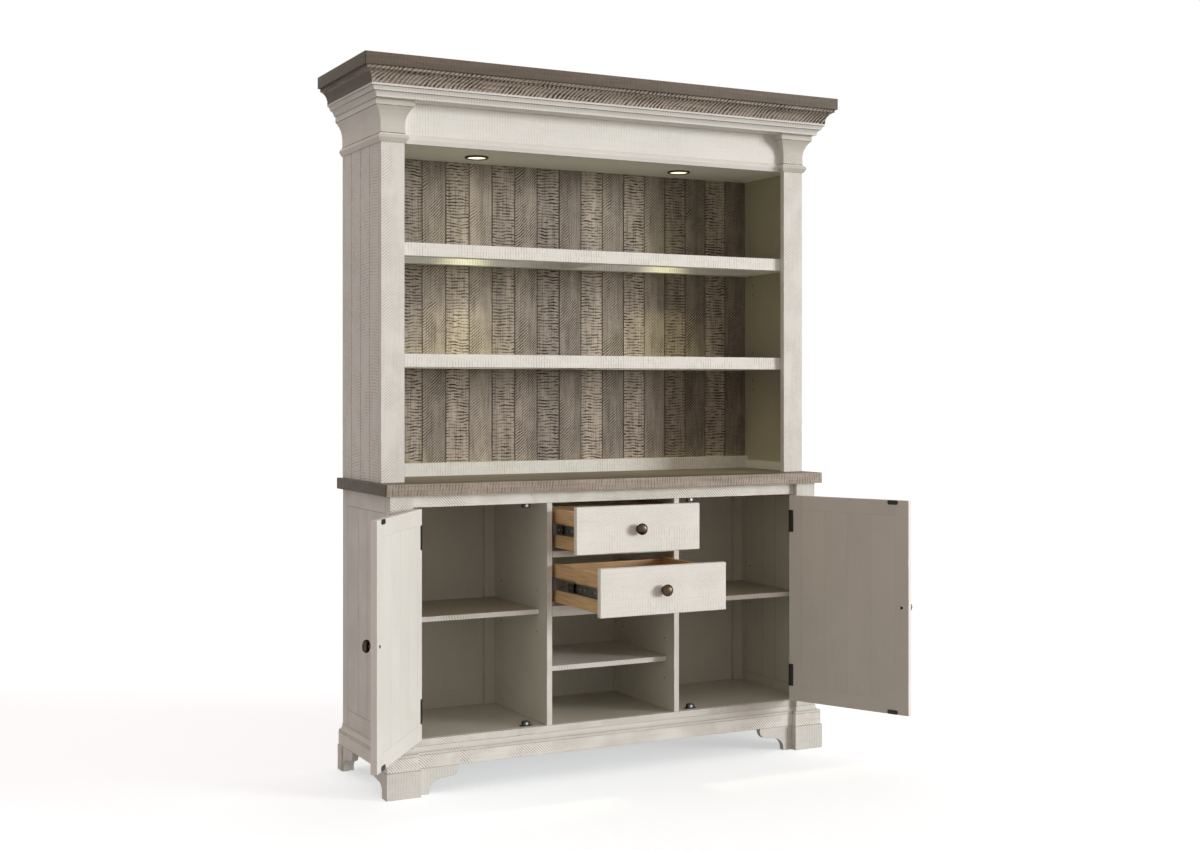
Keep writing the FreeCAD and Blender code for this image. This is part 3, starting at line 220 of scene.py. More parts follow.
def plainFinish(name, look):
    material, tree, shader = newMaterial(name, Metallic=look["metal"])
    shader.inputs["Specular Tint"].default_value = linear(look.get("edgeTint", "#ffffff"))
    spot = addNode(tree, "ShaderNodeTexCoord", out="Object")
    uneven = addNode(tree, "ShaderNodeTexNoise", {"Vector": spot, "Scale": 1000 / look["size"],
                                                  "Detail": 4.0})
    fine = addNode(tree, "ShaderNodeTexNoise", {"Vector": spot, "Scale": 1000 / plainShare["grit"],
                                                "Detail": 2.0})
    colour = addNode(tree, blend, {0: uneven, 6: linear(look["colours"][0]), 7: linear(look["colours"][1])},
                     out=2, data_type="RGBA")
    rough = addNode(tree, remap, {"Value": uneven, "From Min": plainShare["clouds"][0],
                                  "From Max": plainShare["clouds"][1], "To Min": look["rough"][0],
                                  "To Max": look["rough"][1]})
    bump = addNode(tree, "ShaderNodeBump", {"Strength": plainShare["relief"],
                                            "Distance": plainShare["depth"] * mm, "Height": fine})
    tree.links.new(colour, shader.inputs["Base Color"])
    tree.links.new(rough, shader.inputs["Roughness"])
    tree.links.new(bump, shader.inputs["Normal"])
    return material


finishes = {name: sawnWood(name, look) for name, look in woodLooks.items()}
finishes.update({name: plainFinish(name, look) for name, look in plainLooks.items()})

# Float glass: lets nearly all light through, mirrors more at a low angle, faintly green and a little smudged.
glassLook = {"tint": "#6d7b74", "index": 1.5, "facing": 0.05, "grazing": 0.5, "glance": (0.04, 0.8),
             "haze": (0.0, 0.05), "smudged": (0.5, 0.8), "size": 70}
glass, glassTree, glassShader = newMaterial("clearFloatGlass", IOR=glassLook["index"])
glassShader.inputs["Base Color"].default_value = linear(glassLook["tint"])
spot = addNode(glassTree, "ShaderNodeTexCoord", out="Object")
smudge = addNode(glassTree, "ShaderNodeTexNoise", {"Vector": spot, "Scale": 1000 / glassLook["size"]})
haze = addNode(glassTree, remap, {"Value": smudge, "From Min": glassLook["smudged"][0],
                                  "From Max": glassLook["smudged"][1], "To Min": glassLook["haze"][0],
                                  "To Max": glassLook["haze"][1]})
glancing = addNode(glassTree, "ShaderNodeFresnel", {"IOR": glassLook["index"]})
mirror = addNode(glassTree, remap, {"Value": glancing, "From Min": glassLook["glance"][0],
                                    "From Max": glassLook["glance"][1], "To Min": glassLook["facing"],
                                    "To Max": glassLook["grazing"]})
glassTree.links.new(haze, glassShader.inputs["Roughness"])
glassTree.links.new(mirror, glassShader.inputs["Alpha"])
finishes["clearFloatGlass"] = glass

# Frosted lens, lit from behind: white, a little uneven.
lensLook = {"glow": "#fff3dc", "edge": "#f2dcae", "strength": 1.6, "rough": 0.5, "size": 6}
lens, lensTree, lensShader = newMaterial("frostedLens", Roughness=lensLook["rough"])
spot = addNode(lensTree, "ShaderNodeTexCoord", out="Object")
uneven = addNode(lensTree, "ShaderNodeTexNoise", {"Vector": spot, "Scale": 1000 / lensLook["size"]})
glow = addNode(lensTree, blend, {0: uneven, 6: linear(lensLook["glow"]), 7: linear(lensLook["edge"])}, out=2,
               data_type="RGBA")
lensTree.links.new(glow, lensShader.inputs["Base Color"])
lensTree.links.new(glow, lensShader.inputs["Emission Color"])
lensShader.inputs["Emission Strength"].default_value = lensLook["strength"]
finishes["frostedLens"] = lens
print("finishes:", len(finishes))


def closing(jointName):
    joint = joints[jointName]
    to = Matrix.Translation(Vector(joint["pos_m"]))
    turn = Matrix.Rotation(math.radians(joint["range_deg"][0]), 4, Vector(joint["axis"]))
    return to @ turn @ to.inverted()


def nodeCopy(nodeName, turn=None):
    bm = bmesh.new()
    bm.from_mesh(frame["nodes"][nodeName].data)
    bmesh.ops.remove_doubles(bm, verts=bm.verts, dist=workshop["weld"] * mm)
    bmesh.ops.dissolve_limit(bm, angle_limit=math.radians(workshop["flat"]), verts=bm.verts, edges=bm.edges)
    if turn:
        bmesh.ops.transform(bm, matrix=turn, verts=bm.verts)
    return bm


def islands(bm):
    waiting, found = set(bm.faces), []
    while waiting:
        edge, group = [waiting.pop()], []
        while edge:
            face = edge.pop()
            group.append(face)
            near = {other for vert in face.verts for other in vert.link_faces} & waiting
            waiting -= near
            edge.extend(near)
        found.append(group)
    return found


def boxOf(verts):
    spots = [vert.co for vert in verts]
    return (Vector([min(s[i] for s in spots) for i in range(3)]),
            Vector([max(s[i] for s in spots) for i in range(3)]))


def solidBoxes(nodeName, turn=None):
    bm = nodeCopy(nodeName, turn)
    boxes = [boxOf({vert for face in group for vert in face.verts}) for group in islands(bm)]
    bm.free()
    return sorted(boxes, key=lambda pair: [round(c, 4) for c in pair[0]])


def append(whole, part):
    scratch = bpy.data.meshes.new("scratch")
    part.to_mesh(scratch)
    part.free()
    whole.from_mesh(scratch)
    bpy.data.meshes.remove(scratch)


def roundEdges(bm, edges, size, steps):
    made = bmesh.ops.bevel(bm, geom=edges, offset=size * mm, offset_type="OFFSET", segments=steps,
                           profile=0.5, affect="EDGES", clamp_overlap=True, material=-1)
    return made["faces"]


def soften(bm, arris, steps=2, crease=0):
    bm.normal_update()
    corner, shortest = math.radians(workshop["corner"]), workshop["shortEdge"] * mm
    # The bevel faces are marked for the dark edge colour: on arrises partly rubbed paint and partly painted
    # shade where boards meet, in creases painted shade.
    for size, convex in ((crease, False), (arris, True)):
        edges = [e for e in bm.edges
                 if e.is_manifold and e.calc_face_angle() > corner and e.calc_length() > shortest
                 and (not crease or e.is_convex == convex)]
        if not size or not edges:
            continue
        for face in roundEdges(bm, edges, size, steps):
            face.material_index = 1


def block(low, high, arris, steps=2):
    bm = bmesh.new()
    bmesh.ops.create_cube(bm, size=1.0)
    low, high = Vector(low), Vector(high)
    bmesh.ops.scale(bm, vec=high - low, verts=bm.verts)
    bmesh.ops.translate(bm, vec=(low + high) / 2, verts=bm.verts)
    if arris:
        soften(bm, arris, steps)
    return bm


def keepInside(bm, nodeName):
    low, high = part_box(nodeName)
    for vert in bm.verts:
        vert.co = [min(max(c, a), b) for c, a, b in zip(vert.co, low, high)]


def halves(bm, point, normal):
    parts = []
    for side in ("clear_outer", "clear_inner"):
        part = bm.copy()
        bmesh.ops.bisect_plane(part, geom=part.verts[:] + part.edges[:] + part.faces[:],
                               dist=workshop["cut"] * mm, plane_co=point, plane_no=normal, **{side: True})
        bmesh.ops.holes_fill(part, edges=[e for e in part.edges if e.is_boundary], sides=0)
        parts.append(part)
    bm.free()
    return parts


def slices(bm, axis, cuts):
    normal, parts, rest = Vector([float(i == axis) for i in range(3)]), [], bm
    for stop in sorted(cuts):
        first, rest = halves(rest, normal * stop, normal)
        parts.append(first)
    return parts + [rest]


def grooves(nodeName, along, depthAxis, face, depth):
    bm = nodeCopy(nodeName)
    found = {round(v.co[along], 4) for v in bm.verts
             if abs(abs(v.co[depthAxis] - face) - depth * mm) < workshop["near"] * mm}
    bm.free()
    return sorted(found)


def sideOf(normal):
    axis = max(range(3), key=lambda i: abs(normal[i]))
    return axis, sideNames[axis][int(normal[axis] > 0)]


# Grain on a board: how many metres apart boards may lie in the pattern, marks on sides that are not named,
# the most that inner sides and end grain show, and how square a face stands that isn't a groove's wall.
grainLook = {"apart": 40, "rest": (0.1, 0, 0), "inner": 0.1, "endGrain": 0.3, "square": 0.95}


def layGrain(bm, spec):
    uv = bm.loops.layers.uv.new("grain")
    board = bm.loops.layers.float_color.new("board")
    rim = bm.loops.layers.float.new("rim")
    groups = [(boxOf({v for f in group for v in f.verts}), group) for group in islands(bm)]
    groups.sort(key=lambda pair: [round(c, 4) for c in pair[0][0]])
    style, kinds, paintedShading = spec["grain"], spec.get("alternate"), spec.get("paintedShading", {})
    coarse = spec.get("coarse", 1.0)
    for index, ((low, high), group) in enumerate(groups):
        size, middle = high - low, (low + high) / 2
        grainAxis = axisOf[style] if style in axisOf else max(range(3), key=lambda i: size[i])
        shift, tone = dice.uniform(0, grainLook["apart"]), spec.get("tone", dice.random())
        for face in group:
            face.normal_update()
            normal = face.normal
            faceAxis, side = sideOf(normal)
            runAxis = grainAxis
            if style == "run":
                runAxis = 1 if abs(normal.x) > abs(normal.y) else 0
            saw, hatch, lean = spec.get(side, spec.get("rest", grainLook["rest"]))
            if kinds and side in spec:
                saw, hatch, lean = kinds[index % len(kinds)]
            if "upper" in spec and side == "front" and face.calc_center_median().z > middle.z:
                saw, hatch, lean = spec["upper"]
            # Sides named in the shading table take its painted light or shade in place of the board's tone;
            # inward faces of side boards take painted shade.
            faceTone = paintedShading.get(side, tone)
            if "inner" in paintedShading and faceAxis == 0 and normal.x * middle.x < 0:
                saw, faceTone = grainLook["inner"], paintedShading["inner"]
            uAxis, vAxis = runAxis, 3 - runAxis - faceAxis
            if faceAxis == runAxis:
                uAxis, vAxis = [i for i in range(3) if i != faceAxis]
                saw = min(saw, grainLook["endGrain"])
            slanted = abs(normal[faceAxis]) < grainLook["square"]
            # Named sides get the dark edge colour as painted shade with some glaze; groove walls get it as
            # dark joints.
            sunk = side in spec.get("glazedAndShaded", ()) or spec.get("grooved") and slanted
            for loop in face.loops:
                spot = loop.vert.co
                loop[uv].uv = ((spot[uAxis] + shift) / coarse, (spot[vAxis] - middle[vAxis]) / coarse)
                loop[board] = (faceTone, saw, 0.5 + 0.5 * lean, hatch)  # lean goes in as 0 to 1
                loop[rim] = (1.0 if sunk else face.material_index) * spec.get("wornAndShaded", 1.0)
    for face in bm.faces:
        face.material_index = 0


def finishPiece(name, bm, finish, body, nodes=(), bend=workshop["woodBend"]):
    bmesh.ops.recalc_face_normals(bm, faces=bm.faces)
    for face in bm.faces:
        face.smooth = True
    mesh = bpy.data.meshes.new(name)
    bm.to_mesh(mesh)
    bm.free()
    if "custom_normal" in mesh.attributes:
        mesh.attributes.remove(mesh.attributes["custom_normal"])
    mesh.set_sharp_from_angle(angle=math.radians(bend))
    mesh.materials.clear()
    mesh.materials.append(finishes[finish])
    piece = bpy.data.objects.new(name, mesh)
    bpy.context.scene.collection.objects.link(piece)
    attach(piece, body)
    if nodes:
        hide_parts(*nodes)
    return piece


# Marks on a side: strength, 1 for broken strokes or 0 for long lines, lean (+1 falls to the right, -1 rises).
# A tone above 1 is painted light, paler than the paint. The shading table gives the tone of single sides:
# below 0 they lie in the shaded inside and get painted shade, darker and yellower; above 1 they get painted
# light.
# coarse draws the marks so many times as large, to show them.
faint, falling, rising, strokes = (0.3, 0, 0.6), (0.9, 0, 1), (0.6, 0, -1), (0.5, 1, 0)
# Two levels of painted shade: for sides inside the cabinet, and deeper for the darkest sides.
inside, deep = -0.4, -0.9
paintedPieces = {
    "basePosts": {"node": "front_posts", "grain": "z", "front": falling, "left": faint, "right": faint},
    "backPosts": {"node": "back_posts", "grain": "z", "left": faint, "right": faint,
                  "paintedShading": {"inner": inside}},
    "dividerBoards": {"node": "dividers", "grain": "z", "front": falling, "tone": 2.4,
                      "paintedShading": {"left": inside, "right": inside}},
    "bottomRail": {"node": "bottom_rail", "grain": "x", "front": falling, "tone": 1.2},
    "drawerRails": {"node": "drawer_rails", "grain": "x", "front": falling},
    "bottomPanel": {"node": "bottom_panel", "grain": "x", "paintedShading": {"top": inside}},
    "baseBackPanel": {"node": "base_back_panel", "grain": "z", "paintedShading": {"front": inside}},
    "backStrips": {"node": "back_strips", "grain": "long",
                   "paintedShading": {"left": inside, "right": inside, "front": inside}},
    # The door shelves are strongly painted light, with painted shade on their tops and undersides.
    "doorShelves": {"node": "door_shelves", "grain": "x", "front": (0.5, 0, 0.4), "tone": 5.0,
                    "paintedShading": {"top": deep, "under": inside}},
    "cubbyShelf": {"node": "cubby_shelf", "grain": "x", "front": (0.5, 0, 0.4),
                   "paintedShading": {"top": 1.5, "under": inside}},
    "baseMoulding": {"node": "base_moulding", "grain": "run", "crease": 2.2, "rest": (0.4, 0, 0.8),
                     "wornAndShaded": 1.5},
    "plinthBoards": {"node": "plinth_boards", "grain": "long", "front": (1.0, 0, 1), "left": faint,
                     "tone": 3.0},
    "frontFeet": {"node": "front_feet", "grain": "run", "front": (0.28, 1, 0), "left": strokes},
    "backFeet": {"node": "back_feet", "grain": "run", "left": strokes, "right": strokes},
    "hutchPosts": {"node": "hutch_posts", "grain": "z", "front": rising, "left": faint, "right": faint},
    "hutchSides": {"node": "hutch_sides", "grain": "z", "left": (0.5, 1, 0.1), "right": (0.5, 1, 0.1),
                   "grooved": True, "paintedShading": {"inner": deep}, "arris": 0.5, "tone": 1.2},
    "hutchBaseRails": {"node": "hutch_base_rails", "grain": "long", "front": strokes},
    "headRail": {"node": "head_rail", "grain": "x"},
    "friezeBoard": {"node": "frieze_board", "grain": "x", "front": (0.22, 1, 0), "tone": 2.2},
    # The ceiling is painted light all over.
    "hutchCeiling": {"node": "hutch_ceiling", "grain": "x", "tone": 2.8},
    "bedMoulding": {"node": "bed_moulding", "grain": "run", "crease": 2.2, "rest": (0.3, 0, 0.3),
                    "wornAndShaded": 2.2},
    "leftCapital": {"node": "left_capital", "grain": "run", "crease": 2.2, "front": rising, "rest": faint,
                    "tone": 2.0, "paintedShading": {"front": -0.3}, "wornAndShaded": 2.2},
    "rightCapital": {"node": "right_capital", "grain": "run", "crease": 2.2, "front": rising, "rest": faint,
                     "paintedShading": {"front": -0.3}, "wornAndShaded": 2.2},
    "friezeBead": {"node": "frieze_bead", "grain": "x", "arris": 1.5, "crease": 1.8, "rest": (0.1, 0, 0),
                   "tone": 1.4, "wornAndShaded": 2.0, "glazedAndShaded": ("top", "under")},
    # The upper shelf frame is painted light, strongest on its undersides where the lights shine through the
    # glass.
    "upperShelfFrame": {"node": "upper_shelf_frame", "grain": "long", "front": strokes, "tone": 2.2,
                        "paintedShading": {"under": 4.5}},
    "lowerShelfFrame": {"node": "lower_shelf_frame", "grain": "long", "front": strokes, "tone": 2.2},
}
for name, spec in paintedPieces.items():
    whole = nodeCopy(spec["node"])
    soften(whole, spec.get("arris", workshop["arris"]), crease=spec.get("crease", 0))
    keepInside(whole, spec["node"])
    layGrain(whole, spec)
    finishPiece(name, whole, "antiqueWhitePaint", "cabinet", [spec["node"]])
print("painted boards:", len(paintedPieces))

# Top rail, glued up from two lengths with a slanted scarf joint.
# Its tone above 1 is painted light.
topRailLook = {"scarf": (-278, -188, 859), "slant": (0.79, 0.0, 0.61), "arris": 0.7, "grain": "x",
               "front": falling, "tone": 2.8}
whole = bmesh.new()
for part in halves(nodeCopy("top_rail"), [c * mm for c in topRailLook["scarf"]], topRailLook["slant"]):
    soften(part, topRailLook["arris"])
    append(whole, part)
layGrain(whole, topRailLook)
finishPiece("topRail", whole, "antiqueWhitePaint", "cabinet", ["top_rail"])

# Base sides: four upright planks between a band above and a band below.
# Their inner faces get painted shade.
sideLook = {"topBand": 52, "bottomBand": 76, "groove": 1.6, "margin": 20, "arris": 1.1, "grain": "long",
            "left": (0.45, 0, 0.5), "right": (0.45, 0, 0.5), "paintedShading": {"inner": inside}}
whole = bmesh.new()
seams = grooves("base_sides", 1, 0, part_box("base_sides")[0].x, sideLook["groove"])
margin = sideLook["margin"] * mm
for low, high in solidBoxes("base_sides"):
    foot, head = low.z + sideLook["bottomBand"] * mm, high.z - sideLook["topBand"] * mm
    stops = [low.y] + [s for s in seams if low.y + margin < s < high.y - margin] + [high.y]
    append(whole, block(low, (high.x, high.y, foot), sideLook["arris"]))
    append(whole, block((low.x, low.y, head), high, sideLook["arris"]))
    for start, end in zip(stops, stops[1:]):
        append(whole, block((low.x, start, foot), (high.x, end, head), sideLook["arris"]))
layGrain(whole, sideLook)
finishPiece("baseSides", whole, "antiqueWhitePaint", "cabinet", ["base_sides"])
print("base side planks:", len(stops) - 1, "a side")

# Back of the hutch: planks cut apart at their grooves, each with its own tone, its own saw and its own depth.
backLook = {"groove": 1.6, "sit": 1.4, "arris": 1.0, "grain": "z", "front": (1, 0, 1),
            "alternate": [(1, 1, 0), (0.8, 0, -1), (0.95, 1, 0), (0.8, 0, -0.95), (1, 1, 0), (0.7, 0, -1),
                          (0.9, 1, 0), (0.9, 0, -1)]}
whole = bmesh.new()
seams = grooves("hutch_back_planks", 0, 1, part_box("hutch_back_planks")[0].y, backLook["groove"])
for part in slices(nodeCopy("hutch_back_planks"), 0, seams):
    bmesh.ops.translate(part, vec=(0, dice.uniform(0, backLook["sit"]) * mm, 0), verts=part.verts)
    soften(part, backLook["arris"])
    append(whole, part)
layGrain(whole, backLook)
finishPiece("hutchBackPlanks", whole, "weatheredStain", "cabinet", ["hutch_back_planks"])

# Crown cap, cove and counter; the counter has a rounded nose and is butted together from three lengths.
# Their left sides get deep painted shade and the counter's top painted shade; the cap is mixed with the shade
# colour all over.
stainedPieces = {
    "crownCap": {"node": "crown_cap", "grain": "run", "front": (0.2, 1, 0), "left": (0.15, 1, 0),
                 "arris": 1.4, "tone": -0.8, "paintedShading": {"left": deep}},
    "crownCove": {"node": "crown_cove", "grain": "run", "front": (1.0, 0, -1), "left": (0.3, 0, -1),
                  "under": (1.0, 0, -1), "right": (0.3, 0, -1), "arris": 0.7, "tone": 0.5,
                  "paintedShading": {"left": deep}, "coarse": 1.45},
    "counterSlab": {"node": "countertop", "grain": "run", "front": (0.45, 0.7, 0), "left": (0.3, 1, 0),
                    "nose": 5.0, "noseSteps": 8, "arris": 1.2, "tone": 0.6, "cuts": (-509, 626),
                    "paintedShading": {"left": deep, "top": -0.5}},
}
for name, spec in stainedPieces.items():
    whole, blank = bmesh.new(), nodeCopy(spec["node"])
    if "nose" in spec:
        soften(blank, spec["nose"], spec["noseSteps"])
        for face in blank.faces:
            face.material_index = 0
    for part in slices(blank, 0, [c * mm for c in spec.get("cuts", ())]):
        soften(part, spec["arris"])
        append(whole, part)
    layGrain(whole, spec)
    finishPiece(name, whole, "weatheredStain", "cabinet", [spec["node"]])
print("stained boards:", len(stainedPieces) + 1)

# Doors: two stiles, two rails and four planks, flush inside and sunk outside; made shut, then swung open.
# inner is the tone of the back faces, with painted shade on the right door; edge is painted light on the
# edges.
doorLook = {"stile": 47, "planks": 4, "sunk": 5, "arris": 0.5, "grain": "long", "front": (0.7, 0, -1),
            "rest": (0.06, 0, 0), "tone": 0.5, "edge": 3.0, "inner": {"left": 0.25, "right": -0.15},
            "wornAndShaded": 0.45}
for hand in ("left", "right"):
    body = hand + "_door"
    shut = closing(body + "_swing")
    low, high = solidBoxes(body, shut)[0]
    stile, sunk = doorLook["stile"] * mm, doorLook["sunk"] * mm
    inner = (low.x + stile, high.x - stile)
    boards = [(low, (inner[0], high.y, high.z)), ((inner[1], low.y, low.z), high),
              ((inner[0], low.y, low.z), (inner[1], high.y, low.z + stile)),
              ((inner[0], low.y, high.z - stile), (inner[1], high.y, high.z))]
    step = (inner[1] - inner[0]) / doorLook["planks"]
    for i in range(doorLook["planks"]):
        boards.append(((inner[0] + i * step, low.y + sunk, low.z + stile),
                       (inner[0] + (i + 1) * step, high.y, high.z - stile)))
    whole = bmesh.new()
    for start, end in boards:
        append(whole, block(start, end, doorLook["arris"]))
    doorShading = {"back": doorLook["inner"][hand], "left": doorLook["edge"], "right": doorLook["edge"]}
    layGrain(whole, dict(doorLook, paintedShading=doorShading))
    bmesh.ops.transform(whole, matrix=shut.inverted(), verts=whole.verts)
    finishPiece(hand + "DoorBoards", whole, "antiqueWhitePaint", body, [body])
print("doors: 2")

# Drawers: painted front glued up from two boards, with a well rounded edge, and an oak box.
# The fronts' tone above 1 is painted light.
drawerLook = {"round": 1.8, "roundSteps": 3, "grain": "x", "upper": (0.36, 0, 0.5), "front": (0.33, 1, 0),
              "rest": faint, "tone": 2.8, "wornAndShaded": 0.5}
boxLook = {"arris": 0.6, "grain": "long", "rest": (0.6, 0, 0)}
for level in ("upper", "lower"):
    body = level + "_drawer"
    low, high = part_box(body + "_front")
    whole = block(low, high, drawerLook["round"], drawerLook["roundSteps"])
    bmesh.ops.bisect_plane(whole, geom=whole.verts[:] + whole.edges[:] + whole.faces[:],
                           dist=workshop["cut"] * mm, plane_co=(low + high) / 2, plane_no=(0, 0, 1))
    layGrain(whole, drawerLook)
    finishPiece(level + "DrawerFace", whole, "antiqueWhitePaint", body, [body + "_front"])
    whole = nodeCopy(body + "_box")
    soften(whole, boxLook["arris"])
    layGrain(whole, boxLook)
    finishPiece(level + "DrawerBox", whole, "lacqueredOak", body, [body + "_box"])
print("drawers: 2")


def turned(outline, steps, centre, axis=(0, -1, 0), closed=False):
    bm = bmesh.new()
    rail = [bm.verts.new((radius * mm, 0, height * mm)) for radius, height in outline]
    for first, second in zip(rail, rail[1:] + rail[:1] if closed else rail[1:]):
        bm.edges.new((first, second))
    bmesh.ops.spin(bm, geom=bm.verts[:] + bm.edges[:], cent=(0, 0, 0), axis=(0, 0, 1), angle=2 * math.pi,
                   steps=steps, use_merge=True, use_duplicate=False)
    bmesh.ops.remove_doubles(bm, verts=bm.verts, dist=workshop["seam"] * mm)
    tilt = Vector((0, 0, 1)).rotation_difference(Vector(axis)).to_matrix().to_4x4()
    bmesh.ops.transform(bm, matrix=Matrix.Translation(Vector(centre)) @ tilt, verts=bm.verts)
    return bm


def edgesThrough(bm):
    ways = {e: (e.verts[0].co - e.verts[1].co).normalized() for e in bm.edges}
    return [e for e, way in ways.items() if abs(way.y) > workshop["through"]]


# Turned knob with a flattened head, and the pan-head screw behind it: radius and height in mm along each.
knobLook = {"outline": [(0, 0), (11, 0), (11, 1.7), (10.3, 2.5), (7.2, 3.4), (6.0, 5.2), (5.6, 8.2),
                        (6.2, 10.8), (9.0, 11.9), (13.4, 12.6), (16.3, 14.6), (17.4, 17.2), (17.6, 19.4),
                        (17.1, 21.9), (15.4, 24.8), (12.6, 27.0), (8.6, 28.4), (4.2, 28.9), (0, 29.0)],
            "steps": 48}
screwLook = {"outline": [(0, 0), (5.0, 0), (4.8, 0.8), (3.6, 1.5), (1.8, 1.8), (0, 1.8)], "steps": 20}
for body, knob in (("upper_drawer", "upperDrawerKnob"), ("lower_drawer", "lowerDrawerKnob"),
                   ("left_door", "leftDoorKnob"), ("right_door", "rightDoorKnob")):
    shut = closing(body + "_swing") if "door" in body else Matrix()
    low, high = solidBoxes(body + "_knob", shut)[0]
    x, z = (low.x + high.x) / 2, (low.z + high.z) / 2
    bm = turned(knobLook["outline"], knobLook["steps"], (x, high.y, z))
    bmesh.ops.transform(bm, matrix=shut.inverted(), verts=bm.verts)
    finishPiece(knob, bm, "oilRubbedBronze", body, [body + "_knob"], workshop["knobBend"])
    if "door" in body:
        behind = solidBoxes(body, shut)[0][1].y
        bm = turned(screwLook["outline"], screwLook["steps"], (x, behind, z), (0, 1, 0))
        bmesh.ops.transform(bm, matrix=shut.inverted(), verts=bm.verts)
        finishPiece(knob + "Screw", bm, "blackCoatedSteel", body, (), workshop["knobBend"])
print("knobs: 4")

# Strike plates: thin steel with round ends and one screw.
strikeLook = {"round": 6.2, "roundSteps": 6, "screw": [(0, 0), (2.6, 0), (2.3, 0.2), (0, 0.3)],
              "screwSteps": 16}
for hand in ("left", "right"):
    body = hand + "_door"
    shut = closing(body + "_swing")
    whole = bmesh.new()
    for low, high in solidBoxes(body + "_strikes", shut):
        part = block(low, high, 0)
        roundEdges(part, edgesThrough(part), strikeLook["round"], strikeLook["roundSteps"])
        append(whole, part)
        spot = ((low.x + high.x) / 2, high.y, (low.z + high.z) / 2)
        append(whole, turned(strikeLook["screw"], strikeLook["screwSteps"], spot, (0, 1, 0)))
    bmesh.ops.transform(whole, matrix=shut.inverted(), verts=whole.verts)
    finishPiece(hand + "Strikes", whole, "blackCoatedSteel", body, [body + "_strikes"], workshop["metalBend"])

# Magnetic catches: a low base, a rounded housing on it and a bright round magnet that faces the door. Those
# above the level hang under the top rail, the others stand on the bottom.
catchLook = {"level": 500, "base": 3.2, "baseArris": 0.8, "housing": 24, "round": 5.5, "roundSteps": 6,
             "magnet": [(0, 0), (4.6, 0), (4.6, 0.5), (4.1, 0.9), (0, 1.0)], "magnetSteps": 28}
cases, magnets = bmesh.new(), bmesh.new()
for low, high in solidBoxes("door_catches"):
    middle, half, base = (low + high) / 2, catchLook["housing"] / 2 * mm, catchLook["base"] * mm
    foot = (high.z - base, high.z) if low.z > catchLook["level"] * mm else (low.z, low.z + base)
    append(cases, block((low.x, low.y, foot[0]), (high.x, high.y, foot[1]), catchLook["baseArris"]))
    part = block((middle.x - half, low.y, low.z), (middle.x + half, high.y, high.z), 0)
    roundEdges(part, edgesThrough(part), catchLook["round"], catchLook["roundSteps"])
    append(cases, part)
    append(magnets, turned(catchLook["magnet"], catchLook["magnetSteps"], (middle.x, low.y, middle.z)))
finishPiece("catchCases", cases, "blackCoatedSteel", "cabinet", ["door_catches"], workshop["metalBend"])
finishPiece("catchMagnets", magnets, "zincPlatedSteel", "cabinet", ["catch_poles"], workshop["metalBend"])
print("strikes and catches: 8")

# Hinge leaves and slides keep their solid form with broken edges.
brokenEdge = 0.25
metalPieces = {
    "leftHingeLeaves": ("left_door_hinge_leaves", "left_door", "blackCoatedSteel"),
    "rightHingeLeaves": ("right_door_hinge_leaves", "right_door", "blackCoatedSteel"),
    "postHingeLeaves": ("hinge_post_leaves", "cabinet", "blackCoatedSteel"),
    "upperDrawerSlides": ("upper_drawer_slides", "upper_drawer", "blackZincSteel"),
    "lowerDrawerSlides": ("lower_drawer_slides", "lower_drawer", "blackZincSteel"),
    "upperMiddles": ("upper_slide_middles", "upper_slide_middles", "blackZincSteel"),
    "lowerMiddles": ("lower_slide_middles", "lower_slide_middles", "blackZincSteel"),
    "slideWallMembers": ("slide_cabinet_members", "cabinet", "blackZincSteel"),
}
for name, (nodeName, body, finish) in metalPieces.items():
    bm = nodeCopy(nodeName)
    soften(bm, brokenEdge)
    finishPiece(name, bm, finish, body, [nodeName], workshop["metalBend"])

